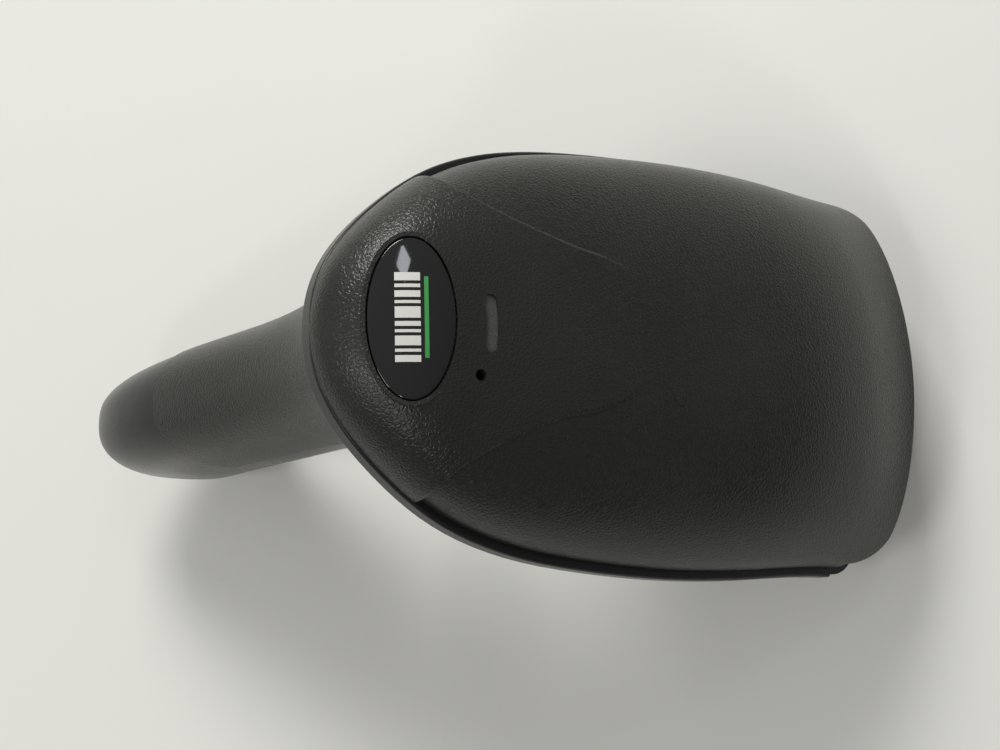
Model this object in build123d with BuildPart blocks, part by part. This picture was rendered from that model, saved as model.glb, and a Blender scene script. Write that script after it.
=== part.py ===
from build123d import *
from math import asin, atan2, cos, degrees, hypot, pi, radians, sin, tan
import os

# Handheld barcode scanner: a pistol-grip imager.
#
# Everything is drawn in the head's own axes. X runs forward from the rear tip of the rim to the
# nose, Y is the scanner's left, Z is up from the parting plane between the two halves of the head.
# Each finished piece is then tipped into the attitude in which the scanner lies on a table: it
# rests on the lower edge of its nose and on the front edge of its butt.

# ---- Head -------------------------------------------------------------------------------------
HEAD_LENGTH = 120.4  # rim's rear tip to the nose, along the parting plane
HEAD_WIDTH = 81.0  # across the rim at its widest
CROWN_HEIGHT = 22.8  # highest point of the top shell over the parting plane
BELLY_DEPTH = 21.0  # lowest point of the underside below it
SHELL_WALL = 2.2
RIM_THICKNESS = 3.0  # depth of the flange round the lower housing
RIM_EDGE = 0.6  # rounding of that flange
LEDGE = 1.8  # how far the flange stands out past the shell ahead of the creases
FLUSH_STEP = 0.5  # the same behind the creases
CREASE_FADE = 0.04  # depth of the step where the creases have faded out
BELLY_INSET = 1.4  # how far the underside's walls stand in from the flange's edge
NOSE_LEAN = 8.0  # degrees that the nose leans back below, from upright
NOSE_BOW = 2.0  # how far the nose bulges forward in the middle
NOSE_CORNER = 6.0  # plan radius of the nose's two corners
FIT = 0.2  # clearance round a part that drops into a seat
TOUCH = 0.02  # clearance between faces that are screwed or clipped together

# Outline of the rim, rear tip to past the nose: (part of the head's length, part of its half width)
PLAN_SHAPE = (
    (0.0, 0.0),
    (0.074, 0.494),
    (0.163, 0.723),
    (0.293, 0.894),
    (0.473, 0.978),
    (0.681, 1.0),
    (0.897, 0.973),
    (1.063, 0.911),
)
# Middle line of the top: (part of the head's length, part of the crown's height)
CROWN_SHAPE = (
    (0.0, 0.0),
    (0.025, 0.333),
    (0.074, 0.566),
    (0.166, 0.702),
    (0.299, 0.816),
    (0.473, 0.921),
    (0.664, 0.991),
    (0.863, 0.934),
    (1.063, 0.746),
)
# Middle line of the underside: (part of the head's length, part of the belly's depth)
BELLY_SHAPE = (
    (0.0, 0.0),
    (0.029, 0.21),
    (0.098, 0.4),
    (0.196, 0.59),
    (0.333, 0.78),
    (0.49, 0.91),
    (0.666, 0.98),
    (0.862, 1.0),
    (1.063, 0.98),
)
SPREAD_REAR = 2.7  # how square the sections are across, at the rear
SPREAD_FRONT = 1.9  # and at the nose
RISE_POWER = 2.4  # how square they are upward
BELLY_START = 1.0  # rear tip to the start of the underside, behind the flange
ROOF_START = 3.5  # rear tip to the hollow under the top
FLOOR_START = 14.0  # rear tip to the hollow over the underside
SECTION_PLACES = (0.005, 0.025, 0.06, 0.11, 0.18, 0.27, 0.38, 0.5, 0.62, 0.74, 0.87, 1.0)
ARCH_POINTS = 13
OVAL_POINTS = 16

# Creases: where the proud rear and middle of the shell step down to its sides, as
# (distance from the rear tip, distance from the middle), from the rim inward; they fade out as they
# meet at the middle
CREASE = ((18.6, 30.5), (19.4, 27.2), (26.2, 20.8), (37.0, 15.8), (48.5, 12.3), (57.5, 8.6), (62.0, 0.0))

# ---- Badge, status light and sounder in the top shell --------------------------------------------
BADGE_X = 12.2
BADGE_LENGTH = 27.3  # across the head
BADGE_WIDTH = 14.7  # along the slope
BADGE_HEIGHT = 12.9  # height of the badge's rim over the parting plane
BADGE_SLOPE = 22.0  # degrees that its seat tips back
BADGE_RECESS = 1.0
BADGE_PROUD = 0.5  # how far its top stands over the rim
BADGE_EDGE = 0.9  # rounding of its top
BADGE_BEAD = 0.75  # radius of the raised bead round the recess
LIGHT_X = 25.3
LIGHT_Y = -0.4
LIGHT_LENGTH = 9.8
LIGHT_WIDTH = 2.3
LIGHT_BEND = 30.0  # radius that the slot follows
LIGHT_RECESS = 0.5
LIGHT_GAP = 0.5  # air over the lamp below it
SOUND_X = 23.2
SOUND_Y = -9.2
SOUND_HOLE = 1.9

# ---- Handle ------------------------------------------------------------------------------------
HANDLE_LENGTH = 105.6  # parting plane to the butt's flat end
HANDLE_WIDTH = 26.2  # across the grip
HANDLE_DEPTH = 35.7  # back to front at the seam
GRIP_WALL = 2.3
BUTT_EDGE = 4.5  # rounding of the butt's end
SEAM_HEIGHT = 71.0  # parting plane to the lower end of the back cover
SEAM_SAG = 1.5  # how far that end dips at the middle of the back
SPLIT_SHARE = 0.46  # where the cover's side edges lie, as a part of the handle's depth
SEAM_STEP = 0.3  # how far the back cover stands proud of the butt
HANDLE_POWER = 2.5  # how square its sections are
# Sections: (distance below the parting plane, back, front, part of the handle's width)
HANDLE_SECTIONS = (
    (4.0, 4.0, 54.0, 1.42),
    (16.0, 5.5, 46.0, 1.18),
    (30.0, 5.5, 41.0, 1.04),
    (46.0, 3.6, 37.6, 1.0),
    (75.0, -2.2, 33.5, 1.0),
    (97.0, -5.4, 33.5, 0.95),
    (110.0, -4.2, 35.0, 0.86),
)

# ---- Trigger -----------------------------------------------------------------------------------
PIVOT_X = 38.0
PIVOT_Z = -17.0
TRIGGER_BOSS = 4.0  # radius round the pivot
TRIGGER_WIDTH = 15.6
TRIGGER_TOP = 5.0  # pivot down to the top of the finger face
TRIGGER_DROP = 32.0  # pivot down to the tip
TRIGGER_REACH = 12.5  # pivot forward to the top of the finger face
TRIGGER_HOLLOW = 5.0  # how deep the finger face is scooped
TRIGGER_WAIST = 0.56  # how far down the trigger the scoop is deepest
TRIGGER_CURL = 3.0  # how far the tip lies behind the top of the finger face
TRIGGER_PULL = 7.0  # degrees
TRIGGER_GAP = 0.5  # clearance in the handle's opening
TRIGGER_EDGE = 1.2
TIP_GAP = 2.5  # trigger's tip to the lower end of the opening
PIN_RADIUS = 1.5
PIN_CLEARANCE = 0.05
PIN_GRIP = 3.2  # length of pin held in each cheek
PAD_RADIUS = 1.5
PLUNGER_DROP = 12.0  # pivot down to the switch's plunger
PLUNGER_RADIUS = 1.3
PLUNGER_GAP = 0.3
PLUNGER_LENGTH = 5.3
PLUNGER_TRAVEL = 1.5
PAD_SETBACK = 7.5  # front of the handle to the pad that presses the plunger
SWITCH_WIDTH = 10.0
SWITCH_HEIGHT = 9.0
SWITCH_CHAMFER = 0.8

# ---- Optics, set out from the nose's own plane ----------------------------------------------------
WINDOW_WIDTH = 54.0
WINDOW_HEIGHT = 21.0
WINDOW_CORNER = 6.0
WINDOW_THICKNESS = 1.8
WINDOW_LAP = 1.8  # how far the pane reaches behind the bezel's face
WINDOW_RISE = -1.0  # the window's middle, from where the nose meets the parting plane
WINDOW_SETBACK = 4.0  # nose to the seat of the window
BEZEL_SETBACK = 1.6
BEZEL_DEPTH = 8.0
GASKET_THICKNESS = 0.8
ENGINE_WIDTH = 30.0
ENGINE_HEIGHT = 18.0
ENGINE_DEPTH = 15.0
ENGINE_GAP = 8.0  # the bezel's back to the engine's lamp board
LUG_WIDTH = 7.0
LUG_HEIGHT = 3.0
LENS_RADIUS = 5.0
LENS_THICKNESS = 2.5
LENS_SINK = 0.8  # barrel's front edge to the lens
LENS_STOP = 1.0  # how far the seat behind the lens reaches in
CHASSIS_CORNER = 2.0
CHAMBER_DEPTH = 7.0  # room for the sensor behind the lens
BARREL_WALL = 1.3
BARREL_LENGTH = 9.0
BARREL_PROUD = 4.0
LAMP_BOARD_WIDTH = 46.0
LAMP_BOARD_HEIGHT = 15.0
LAMP_SIZE = 3.4
LAMP_HEIGHT = 1.6
LAMP_PITCH = 5.4
LAMPS_PER_SIDE = 3
SENSOR_SIZE = 8.0
SENSOR_HEIGHT = 1.5
SENSOR_MARGIN = 2.0
PLATE = 1.6  # thickness of every circuit board

# ---- Electronics ---------------------------------------------------------------------------------
BOARD_LEVEL = 2.0  # main board's underside over the parting plane
BOARD_REAR = 17.5
BOARD_HALF_WIDTH = 21.5
BOARD_GAP = 3.0  # main board to the engine
LAMP_TALL = 1.2
BOARD_CORNER = 2.0
CHIP_X = 50.0
CHIP_SIZE = 14.0
CHIP_HEIGHT = 1.4
MEMORY_LENGTH = 11.0
MEMORY_WIDTH = 8.0
CONNECTOR_X = 28.0
CONNECTOR_WIDTH = 13.0
CONNECTOR_DEPTH = 4.0
CONNECTOR_HEIGHT = 3.0
RIBBON_WIDTH = 10.0
RIBBON_THICKNESS = 0.4
RIBBON_BEND = 2.5
SOUNDER_RADIUS = 4.8
SOUNDER_SHIFT = 1.0  # sound hole to the sounder's middle, rearward and sideways
SOUNDER_HEIGHT = 4.0
HANDLE_BOARD_TOP = -22.5
HANDLE_BOARD_WIDTH = 16.0
BOARD_CLEAR = 4.0  # lower end of the handle's board to the butt's floor

# ---- Cable socket: a ten-way modular jack in the butt ---------------------------------------------
JACK_X = 15.0
JACK_WALL = 1.6
JACK_BACK = 4.0  # thickness of the jack behind its cavity
SOCKET_WIDTH = 11.8
SOCKET_DEPTH = 6.8
SOCKET_LENGTH = 12.5
SOCKET_WAYS = 10
CONTACT_PITCH = 1.02
CONTACT_SIZE = 0.5
CONTACT_LENGTH = 9.0
LATCH_WIDTH = 4.0  # groove for the plug's latch
LATCH_DEPTH = 2.0
BUTT_WALL = 3.0
WELL_MARGIN = 0.9  # how much wider than the socket the hole in the butt is

# ---- Screws --------------------------------------------------------------------------------------
SCREW_RADIUS = 1.25
SCREW_HEAD_RADIUS = 2.3
SCREW_HEAD_HEIGHT = 1.6
SCREW_HEAD_CUT = 0.5
SCREW_SOCKET_DEPTH = 1.0
BOSS_RADIUS = 3.3
HEAD_SCREW_REAR_X = 44.0
HEAD_SCREW_REAR_Y = 29.0
HEAD_SCREW_FRONT_X = 101.0
HEAD_SCREW_FRONT_Y = 27.5
HEAD_SCREW_SINK = 6.0  # parting plane down to the seat of the screw's head
HEAD_SCREW_LENGTH = 12.0
HANDLE_SCREW_DROPS = (58.0, 68.0)
HANDLE_SCREW_LENGTH = 22.0
HANDLE_SCREW_SINK = 5.0  # front of the handle to the seat of the screw's head
BOARD_SCREW_LENGTH = 6.0
ENGINE_SCREW_LENGTH = 8.0
FRONT_RIB_DROPS = (63.0, 92.0)  # ribs ahead of the handle's board
REAR_RIB_DROPS = (32.0, 46.0)  # ribs of the back cover, behind it
RIB_THICKNESS = 1.6

NOSE_X = HEAD_LENGTH
HALF_WIDTH = HEAD_WIDTH / 2
FAR = 300.0  # larger than the whole scanner
lean = radians(NOSE_LEAN)
butt_edge = min(BUTT_EDGE, HANDLE_SECTIONS[-1][3] * HANDLE_WIDTH / 5)  # no more than the butt's width allows
nose_plane = Plane(origin=(NOSE_X, 0, 0), x_dir=(0, 1, 0), z_dir=(cos(lean), 0, -sin(lean)))


def shape_curve(shape, length, height):
    """A smooth line through the shape's points, which leaves the rear tip at a right angle."""
    points = [Vector(along * length, out * height) for along, out in shape]
    return Edge.make_spline(points, tangents=[Vector(0, 1), points[-1] - points[-2]])


plan_curve = shape_curve(PLAN_SHAPE, HEAD_LENGTH, HALF_WIDTH)
crown_curve = shape_curve(CROWN_SHAPE, HEAD_LENGTH, CROWN_HEIGHT)
belly_curve = shape_curve(BELLY_SHAPE, HEAD_LENGTH, BELLY_DEPTH)


def reach(curve, x):
    """How far a curve stands off its base line where it passes x."""
    low, high = 0.0, 1.0
    for _ in range(40):
        middle = (low + high) / 2
        if (curve @ middle).X < x:
            low = middle
        else:
            high = middle
    return (curve @ low).Y


def arch(wide, high, spread):
    """Points of a squarish arch from one side of the middle to the other, end to end."""
    points = []
    for step in range(ARCH_POINTS):
        turn = pi * step / (ARCH_POINTS - 1)
        out = wide * abs(cos(turn)) ** (2 / spread)
        rise = high * abs(sin(turn)) ** (2 / RISE_POWER) if 0 < step < ARCH_POINTS - 1 else 0.0
        points.append((out if turn < pi / 2 else -out, rise))
    return points


def oval(wide, high):
    """Points of a squarish oval, once round and back to the first."""
    points = []
    for step in range(OVAL_POINTS + 1):
        turn = 2 * pi * step / OVAL_POINTS
        out = abs(cos(turn)) ** (2 / HANDLE_POWER) * wide
        side = abs(sin(turn)) ** (2 / HANDLE_POWER) * high
        points.append((out if cos(turn) > 0 else -out, side if sin(turn) > 0 else -side))
    return points


def chord_shares(points):
    """How far along the line through the points each one lies, from 0 to 1.

    Every section of a loft is drawn with the same shares, which keeps the lofted surface light.
    """
    lengths = [0.0]
    for start, end in zip(points, points[1:]):
        lengths.append(lengths[-1] + hypot(end[0] - start[0], end[1] - start[1]))
    return [length / lengths[-1] for length in lengths]


arch_shares = chord_shares(arch(HALF_WIDTH, CROWN_HEIGHT, (SPREAD_REAR + SPREAD_FRONT) / 2))
oval_shares = chord_shares(oval(HANDLE_DEPTH / 2, HANDLE_WIDTH / 2))


def head_half(curve, inset=0.0, lift=0.0, start=0.0, up=1):
    """The upper or lower half of the head: arched sections lofted from the rear past the nose.

    inset takes width off each side, lift adds height, start leaves out the rear of the head.
    """
    places = [(plan_curve @ t).X for t in SECTION_PLACES]
    if start:
        places = [start] + [x for x in places if x > start + 2.0]
    with BuildPart() as half:
        for x in places:
            across = reach(plan_curve, x)
            height = reach(curve, x)
            wide = across - min(inset, across / 2)
            high = height + max(lift, -height / 2)
            spread = SPREAD_REAR + (SPREAD_FRONT - SPREAD_REAR) * min(x / HEAD_LENGTH, 1.0)
            outline = Edge.make_spline(arch(wide, up * high, spread), parameters=arch_shares)
            with BuildSketch(Plane.YZ.offset(x)):
                with BuildLine():
                    add(outline)
                    Line(outline @ 1, outline @ 0)
                make_face()
        loft()
    return half.part


def nose_trim(side_inset, setback=0.0):
    """What lies behind the nose: its face leans back below, bows forward and has round corners."""
    front_x = -setback - NOSE_BOW
    side = reach(plan_curve, NOSE_X + front_x - NOSE_CORNER) - side_inset
    trim_plane = Plane((NOSE_X, 0, 0), x_dir=(cos(lean), 0, -sin(lean)), z_dir=(sin(lean), 0, cos(lean)))
    with BuildPart() as trim:
        with BuildSketch(trim_plane):
            with BuildLine():
                ThreePointArc((front_x, side), (-setback, 0), (front_x, -side))
                Polyline((front_x, -side), (-FAR, -side), (-FAR, side), (front_x, side))
            make_face()
            fillet(vertices().group_by(Axis.X)[-1], NOSE_CORNER)
            with Locations((front_x - NOSE_CORNER - FAR / 2, 0)):
                Rectangle(FAR, FAR)
        extrude(amount=FAR / 2, both=True)
    return trim.part


def handle_bar(inset, low):
    """The whole handle down to a given depth, as oval sections lofted along it."""
    with BuildPart() as bar:
        for drop, back, front, share in HANDLE_SECTIONS:
            depth = front - back - 2 * inset
            width = share * HANDLE_WIDTH - 2 * inset
            ring = oval(depth / 2, width / 2)[:-1]
            outline = Edge.make_spline(ring, periodic=True, parameters=oval_shares)
            with BuildSketch(Plane.XY.offset(-drop * HANDLE_LENGTH / HANDLE_SECTIONS[-1][0])):
                with BuildLine():
                    add(outline.moved(Location(((front + back) / 2, 0, 0))))
                make_face()
        loft()
        split(bisect_by=Plane.XY.offset(-low), keep=Keep.TOP)
    return bar.part


def handle_edge(drop, share):
    """Where a point that lies a share of the way from back to front stands, at a given depth."""
    scale = HANDLE_LENGTH / HANDLE_SECTIONS[-1][0]
    for (d0, b0, f0, _), (d1, b1, f1, _) in zip(HANDLE_SECTIONS, HANDLE_SECTIONS[1:]):
        if drop <= d1 * scale or d1 == HANDLE_SECTIONS[-1][0]:
            part_way = (drop - d0 * scale) / ((d1 - d0) * scale)
            back = b0 + (b1 - b0) * part_way
            front = f0 + (f1 - f0) * part_way
            return back + (front - back) * share


def cover_zone(gap):
    """The space that the back cover takes out of the handle, less a gap all round."""
    top = RIM_THICKNESS + 2 + gap
    low = HANDLE_LENGTH
    sag_radius = (HANDLE_WIDTH**2 / 4 + SEAM_SAG**2) / (2 * SEAM_SAG)
    lowest = SEAM_HEIGHT + SEAM_SAG - gap
    edge_low = sag_radius - (sag_radius**2 - HANDLE_WIDTH**2) ** 0.5
    with BuildPart() as zone:
        with BuildSketch(Plane.XZ):
            with BuildLine():
                Polyline(
                    (-FAR, -top),
                    (handle_edge(top, SPLIT_SHARE) - gap, -top),
                    (handle_edge(SEAM_HEIGHT, SPLIT_SHARE) - gap, -SEAM_HEIGHT),
                    (handle_edge(low, SPLIT_SHARE) - gap, -low),
                    (-FAR, -low),
                    close=True,
                )
            make_face()
        extrude(amount=HANDLE_WIDTH, both=True)
        with BuildSketch(Plane.YZ) as hung:
            with BuildLine():
                ThreePointArc(
                    (-HANDLE_WIDTH, -lowest + edge_low), (0, -lowest), (HANDLE_WIDTH, -lowest + edge_low)
                )
                Polyline(
                    (HANDLE_WIDTH, -lowest + edge_low), (HANDLE_WIDTH, 0), (-HANDLE_WIDTH, 0),
                    (-HANDLE_WIDTH, -lowest + edge_low),
                )
            make_face()
        extrude(amount=FAR, both=True, mode=Mode.INTERSECT)
    return zone.part


# ---- Forms that several pieces share --------------------------------------------------------------
proud_form = head_half(crown_curve, inset=FLUSH_STEP)
stepped_form = head_half(crown_curve, inset=LEDGE, lift=-CREASE_FADE)
roof_core = head_half(crown_curve, inset=LEDGE + SHELL_WALL / 2, lift=-SHELL_WALL / 2)
roof_inside = head_half(crown_curve, inset=LEDGE + SHELL_WALL, lift=-SHELL_WALL, start=ROOF_START)
belly_form = head_half(belly_curve, inset=BELLY_INSET, start=BELLY_START, up=-1)
belly_core = head_half(belly_curve, inset=BELLY_INSET + SHELL_WALL / 2, lift=-SHELL_WALL / 2, up=-1)
belly_inside = head_half(
    belly_curve, inset=BELLY_INSET + SHELL_WALL, lift=-SHELL_WALL, start=FLOOR_START, up=-1
)
handle_form = handle_bar(0.0, HANDLE_LENGTH)
handle_core = handle_bar(GRIP_WALL / 2, HANDLE_LENGTH - BUTT_WALL)
handle_inside = handle_bar(GRIP_WALL, HANDLE_LENGTH - BUTT_WALL)

head_screws = [
    (x, side * y)
    for x, y in ((HEAD_SCREW_REAR_X, HEAD_SCREW_REAR_Y), (HEAD_SCREW_FRONT_X, HEAD_SCREW_FRONT_Y))
    for side in (-1, 1)
]
board_top = BOARD_LEVEL + PLATE
pane_width = WINDOW_WIDTH + 2 * WINDOW_LAP
pane_height = WINDOW_HEIGHT + 2 * WINDOW_LAP
engine_front = -BEZEL_SETBACK - BEZEL_DEPTH - ENGINE_GAP - PLATE
engine_back = engine_front - ENGINE_DEPTH
engine_middle = (engine_front + engine_back) / 2
barrel_radius = LENS_RADIUS + BARREL_WALL
barrel_front = engine_front + BARREL_PROUD
lug_y = (ENGINE_WIDTH + LUG_WIDTH) / 2
lug_floor = WINDOW_RISE - ENGINE_HEIGHT / 2
board_front = NOSE_X + engine_back - PLATE - CONNECTOR_HEIGHT - BOARD_GAP
board_middle = (BOARD_REAR + board_front) / 2
board_length = board_front - BOARD_REAR
post_inset = BOSS_RADIUS + 1.5
board_posts = [
    (x, side * (BOARD_HALF_WIDTH - post_inset))
    for x in (BOARD_REAR + 2 * post_inset, board_front - post_inset)
    for side in (-1, 1)
]
pin_length = TRIGGER_WIDTH + 2 * TRIGGER_GAP + 2 * PIN_GRIP
cheek_start = TRIGGER_WIDTH / 2 + TRIGGER_GAP
jack_depth = SOCKET_DEPTH + 2 * JACK_WALL
jack_width = SOCKET_WIDTH + 2 * JACK_WALL
jack_height = SOCKET_LENGTH + JACK_BACK
handle_board_x = JACK_X + jack_depth / 2 + TOUCH
handle_board_low = HANDLE_LENGTH - BUTT_WALL - BOARD_CLEAR
jack_low = HANDLE_LENGTH - BUTT_WALL
pad_x = handle_edge(-PIVOT_Z + PLUNGER_DROP, 1.0) - PAD_SETBACK
plunger_z = PIVOT_Z - PLUNGER_DROP
screw_split_x = handle_edge(HANDLE_SCREW_DROPS[0], SPLIT_SHARE)
plunger_back = pad_x - PLUNGER_GAP - PLUNGER_LENGTH
switch_back = handle_board_x + PLATE + TOUCH
switch_front = pad_x - 2 * PLUNGER_GAP - 2 * PLUNGER_TRAVEL
trigger_top = PIVOT_Z - TRIGGER_TOP
opening_low = -PIVOT_Z + TRIGGER_DROP + TIP_GAP


def lug_plane(side):
    """Seat of the screw in one of the imager's two lugs, with its Z along the screw."""
    seat = nose_plane.from_local_coords((side * lug_y, lug_floor + LUG_HEIGHT + TOUCH, engine_middle))
    return Plane(seat, z_dir=-nose_plane.y_dir)


# ---- Top shell ------------------------------------------------------------------------------------
with BuildPart() as side_step:
    with BuildSketch(Plane.XY.offset(-1)):
        with BuildLine():
            crease = Spline(*[(x, -y) for x, y in CREASE], tangents=[(0.2, 1), (0, 1)])
            Polyline(
                crease @ 1, (FAR / 2, 0), (FAR / 2, -FAR / 2), (CREASE[0][0], -FAR / 2), crease @ 0
            )
        make_face()
    extrude(amount=FAR / 4)
    add(stepped_form, mode=Mode.SUBTRACT)
    mirror(about=Plane.XZ)

with BuildPart() as shell_bosses:
    with BuildSketch():
        with Locations(*head_screws):
            Circle(BOSS_RADIUS)
    extrude(amount=FAR / 4)
    add(roof_core, mode=Mode.INTERSECT)

badge_plane = Plane(
    (BADGE_X, 0, BADGE_HEIGHT), x_dir=(0, 1, 0), z_dir=(-sin(radians(BADGE_SLOPE)), 0, cos(radians(BADGE_SLOPE)))
)


def light_slot(gap):
    """The status light's curved slot, seen from above."""
    half_angle = degrees((LIGHT_LENGTH - LIGHT_WIDTH) / 2 / LIGHT_BEND)
    with BuildSketch() as slot:
        with Locations((LIGHT_X - LIGHT_BEND, LIGHT_Y)):
            SlotArc(
                CenterArc((0, 0), LIGHT_BEND, -half_angle, 2 * half_angle, mode=Mode.PRIVATE),
                LIGHT_WIDTH - 2 * gap,
            )
    return slot.sketch


with BuildPart() as top_shell:
    add(proud_form)
    add(side_step.part, mode=Mode.SUBTRACT)
    add(nose_trim(LEDGE), mode=Mode.INTERSECT)
    add(roof_inside, mode=Mode.SUBTRACT)
    add(shell_bosses.part)
    with BuildSketch(badge_plane):
        Ellipse(BADGE_LENGTH / 2 + FIT + BADGE_BEAD, BADGE_WIDTH / 2 + FIT + BADGE_BEAD)
    extrude(amount=-SHELL_WALL)
    with BuildSketch(badge_plane):
        Ellipse(BADGE_LENGTH / 2 + FIT, BADGE_WIDTH / 2 + FIT)
    extrude(amount=FAR / 20, mode=Mode.SUBTRACT)
    with BuildSketch(badge_plane.offset(-BADGE_RECESS)):
        Ellipse(BADGE_LENGTH / 2 + FIT, BADGE_WIDTH / 2 + FIT)
    extrude(amount=FAR / 20, mode=Mode.SUBTRACT)
    add(light_slot(0.0))
    extrude(amount=FAR / 4, mode=Mode.SUBTRACT)
    with BuildSketch():
        with Locations((SOUND_X, SOUND_Y)):
            Circle(SOUND_HOLE / 2)
    extrude(amount=FAR / 4, mode=Mode.SUBTRACT)
    with BuildSketch():
        with Locations(*head_screws):
            Circle(SCREW_RADIUS + TOUCH)
    extrude(amount=HEAD_SCREW_LENGTH - HEAD_SCREW_SINK + 1, mode=Mode.SUBTRACT)

with BuildPart() as badge:
    with BuildSketch(badge_plane.offset(TOUCH - BADGE_RECESS)):
        Ellipse(BADGE_LENGTH / 2, BADGE_WIDTH / 2)
    extrude(amount=BADGE_RECESS + BADGE_PROUD)
    fillet(edges().sort_by(Axis.Z)[-1], BADGE_EDGE)

with BuildPart() as light_pipe:
    with BuildSketch(Plane.XY.offset(board_top + LAMP_TALL + LIGHT_GAP)):
        add(light_slot(TOUCH))
    extrude(amount=FAR / 4)
    add(head_half(crown_curve, inset=FLUSH_STEP, lift=-LIGHT_RECESS), mode=Mode.INTERSECT)

# ---- Lower housing: the underside of the head, the front of the handle and the butt ---------------------
with BuildPart() as rim:
    for place in SECTION_PLACES:
        rim_x = (plan_curve @ place).X
        wide = reach(plan_curve, rim_x)
        edge = min(RIM_EDGE, wide / 3)
        with BuildSketch(Plane.YZ.offset(rim_x)):
            with BuildLine():
                RadiusArc((wide - edge, 0), (wide, -edge), edge)
                Line((wide, -edge), (wide, -RIM_THICKNESS))
                Line((wide, -RIM_THICKNESS), (-wide, -RIM_THICKNESS))
                Line((-wide, -RIM_THICKNESS), (-wide, -edge))
                RadiusArc((-wide, -edge), (edge - wide, 0), edge)
                Line((edge - wide, 0), (wide - edge, 0))
            make_face()
    loft()
    add(nose_trim(0.0), mode=Mode.INTERSECT)

with BuildPart() as housing_posts:
    with BuildSketch():
        with Locations(*head_screws):
            Circle(BOSS_RADIUS)
    extrude(amount=-FAR / 10)
    with BuildSketch(Plane.XY.offset(BOARD_LEVEL)):
        with Locations(*board_posts):
            Circle(BOSS_RADIUS)
    extrude(amount=-FAR / 10)
    with BuildSketch(nose_plane.offset(engine_middle)):
        with Locations(*[(side * lug_y, lug_floor - TOUCH) for side in (-1, 1)]):
            Rectangle(LUG_WIDTH, FAR / 10, align=(Align.CENTER, Align.MAX))
    extrude(amount=LUG_WIDTH / 2, both=True)

with BuildPart() as cheeks:
    with BuildSketch(Plane.XZ.offset(-cheek_start - PIN_GRIP)):
        with Locations((PIVOT_X, PIVOT_Z)):
            Circle(TRIGGER_BOSS + 1)
        with Locations((PIVOT_X, PIVOT_Z)):
            Rectangle(2 * TRIGGER_BOSS + 2, FAR / 20, align=(Align.CENTER, Align.MIN))
    extrude(amount=PIN_GRIP)
    mirror(about=Plane.XZ)

with BuildPart() as handle_front:
    add(handle_bar(SEAM_STEP, HANDLE_LENGTH))
    fillet(edges().group_by(Axis.Z)[0], butt_edge)
    add(cover_zone(0.0), mode=Mode.SUBTRACT)

with BuildPart() as posts_above_floor:
    add(housing_posts.part)
    add(belly_core, mode=Mode.INTERSECT)
    with BuildSketch():
        with Locations(*board_posts):
            Circle(BOSS_RADIUS)
    extrude(amount=BOARD_LEVEL - TOUCH)

with BuildPart() as cheeks_and_ribs:
    add(cheeks.part)
    with BuildSketch(Plane.YZ.offset(switch_back)):
        with Locations(*[(0, -drop) for drop in FRONT_RIB_DROPS]):
            Rectangle(HANDLE_WIDTH, RIB_THICKNESS)
    extrude(amount=HANDLE_WIDTH)
    with BuildSketch(Plane.YZ.offset(screw_split_x + TOUCH)):
        with Locations(*[(0, -drop) for drop in HANDLE_SCREW_DROPS]):
            Circle(BOSS_RADIUS)
    extrude(amount=HANDLE_WIDTH)
    add(handle_core, mode=Mode.INTERSECT)

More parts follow.
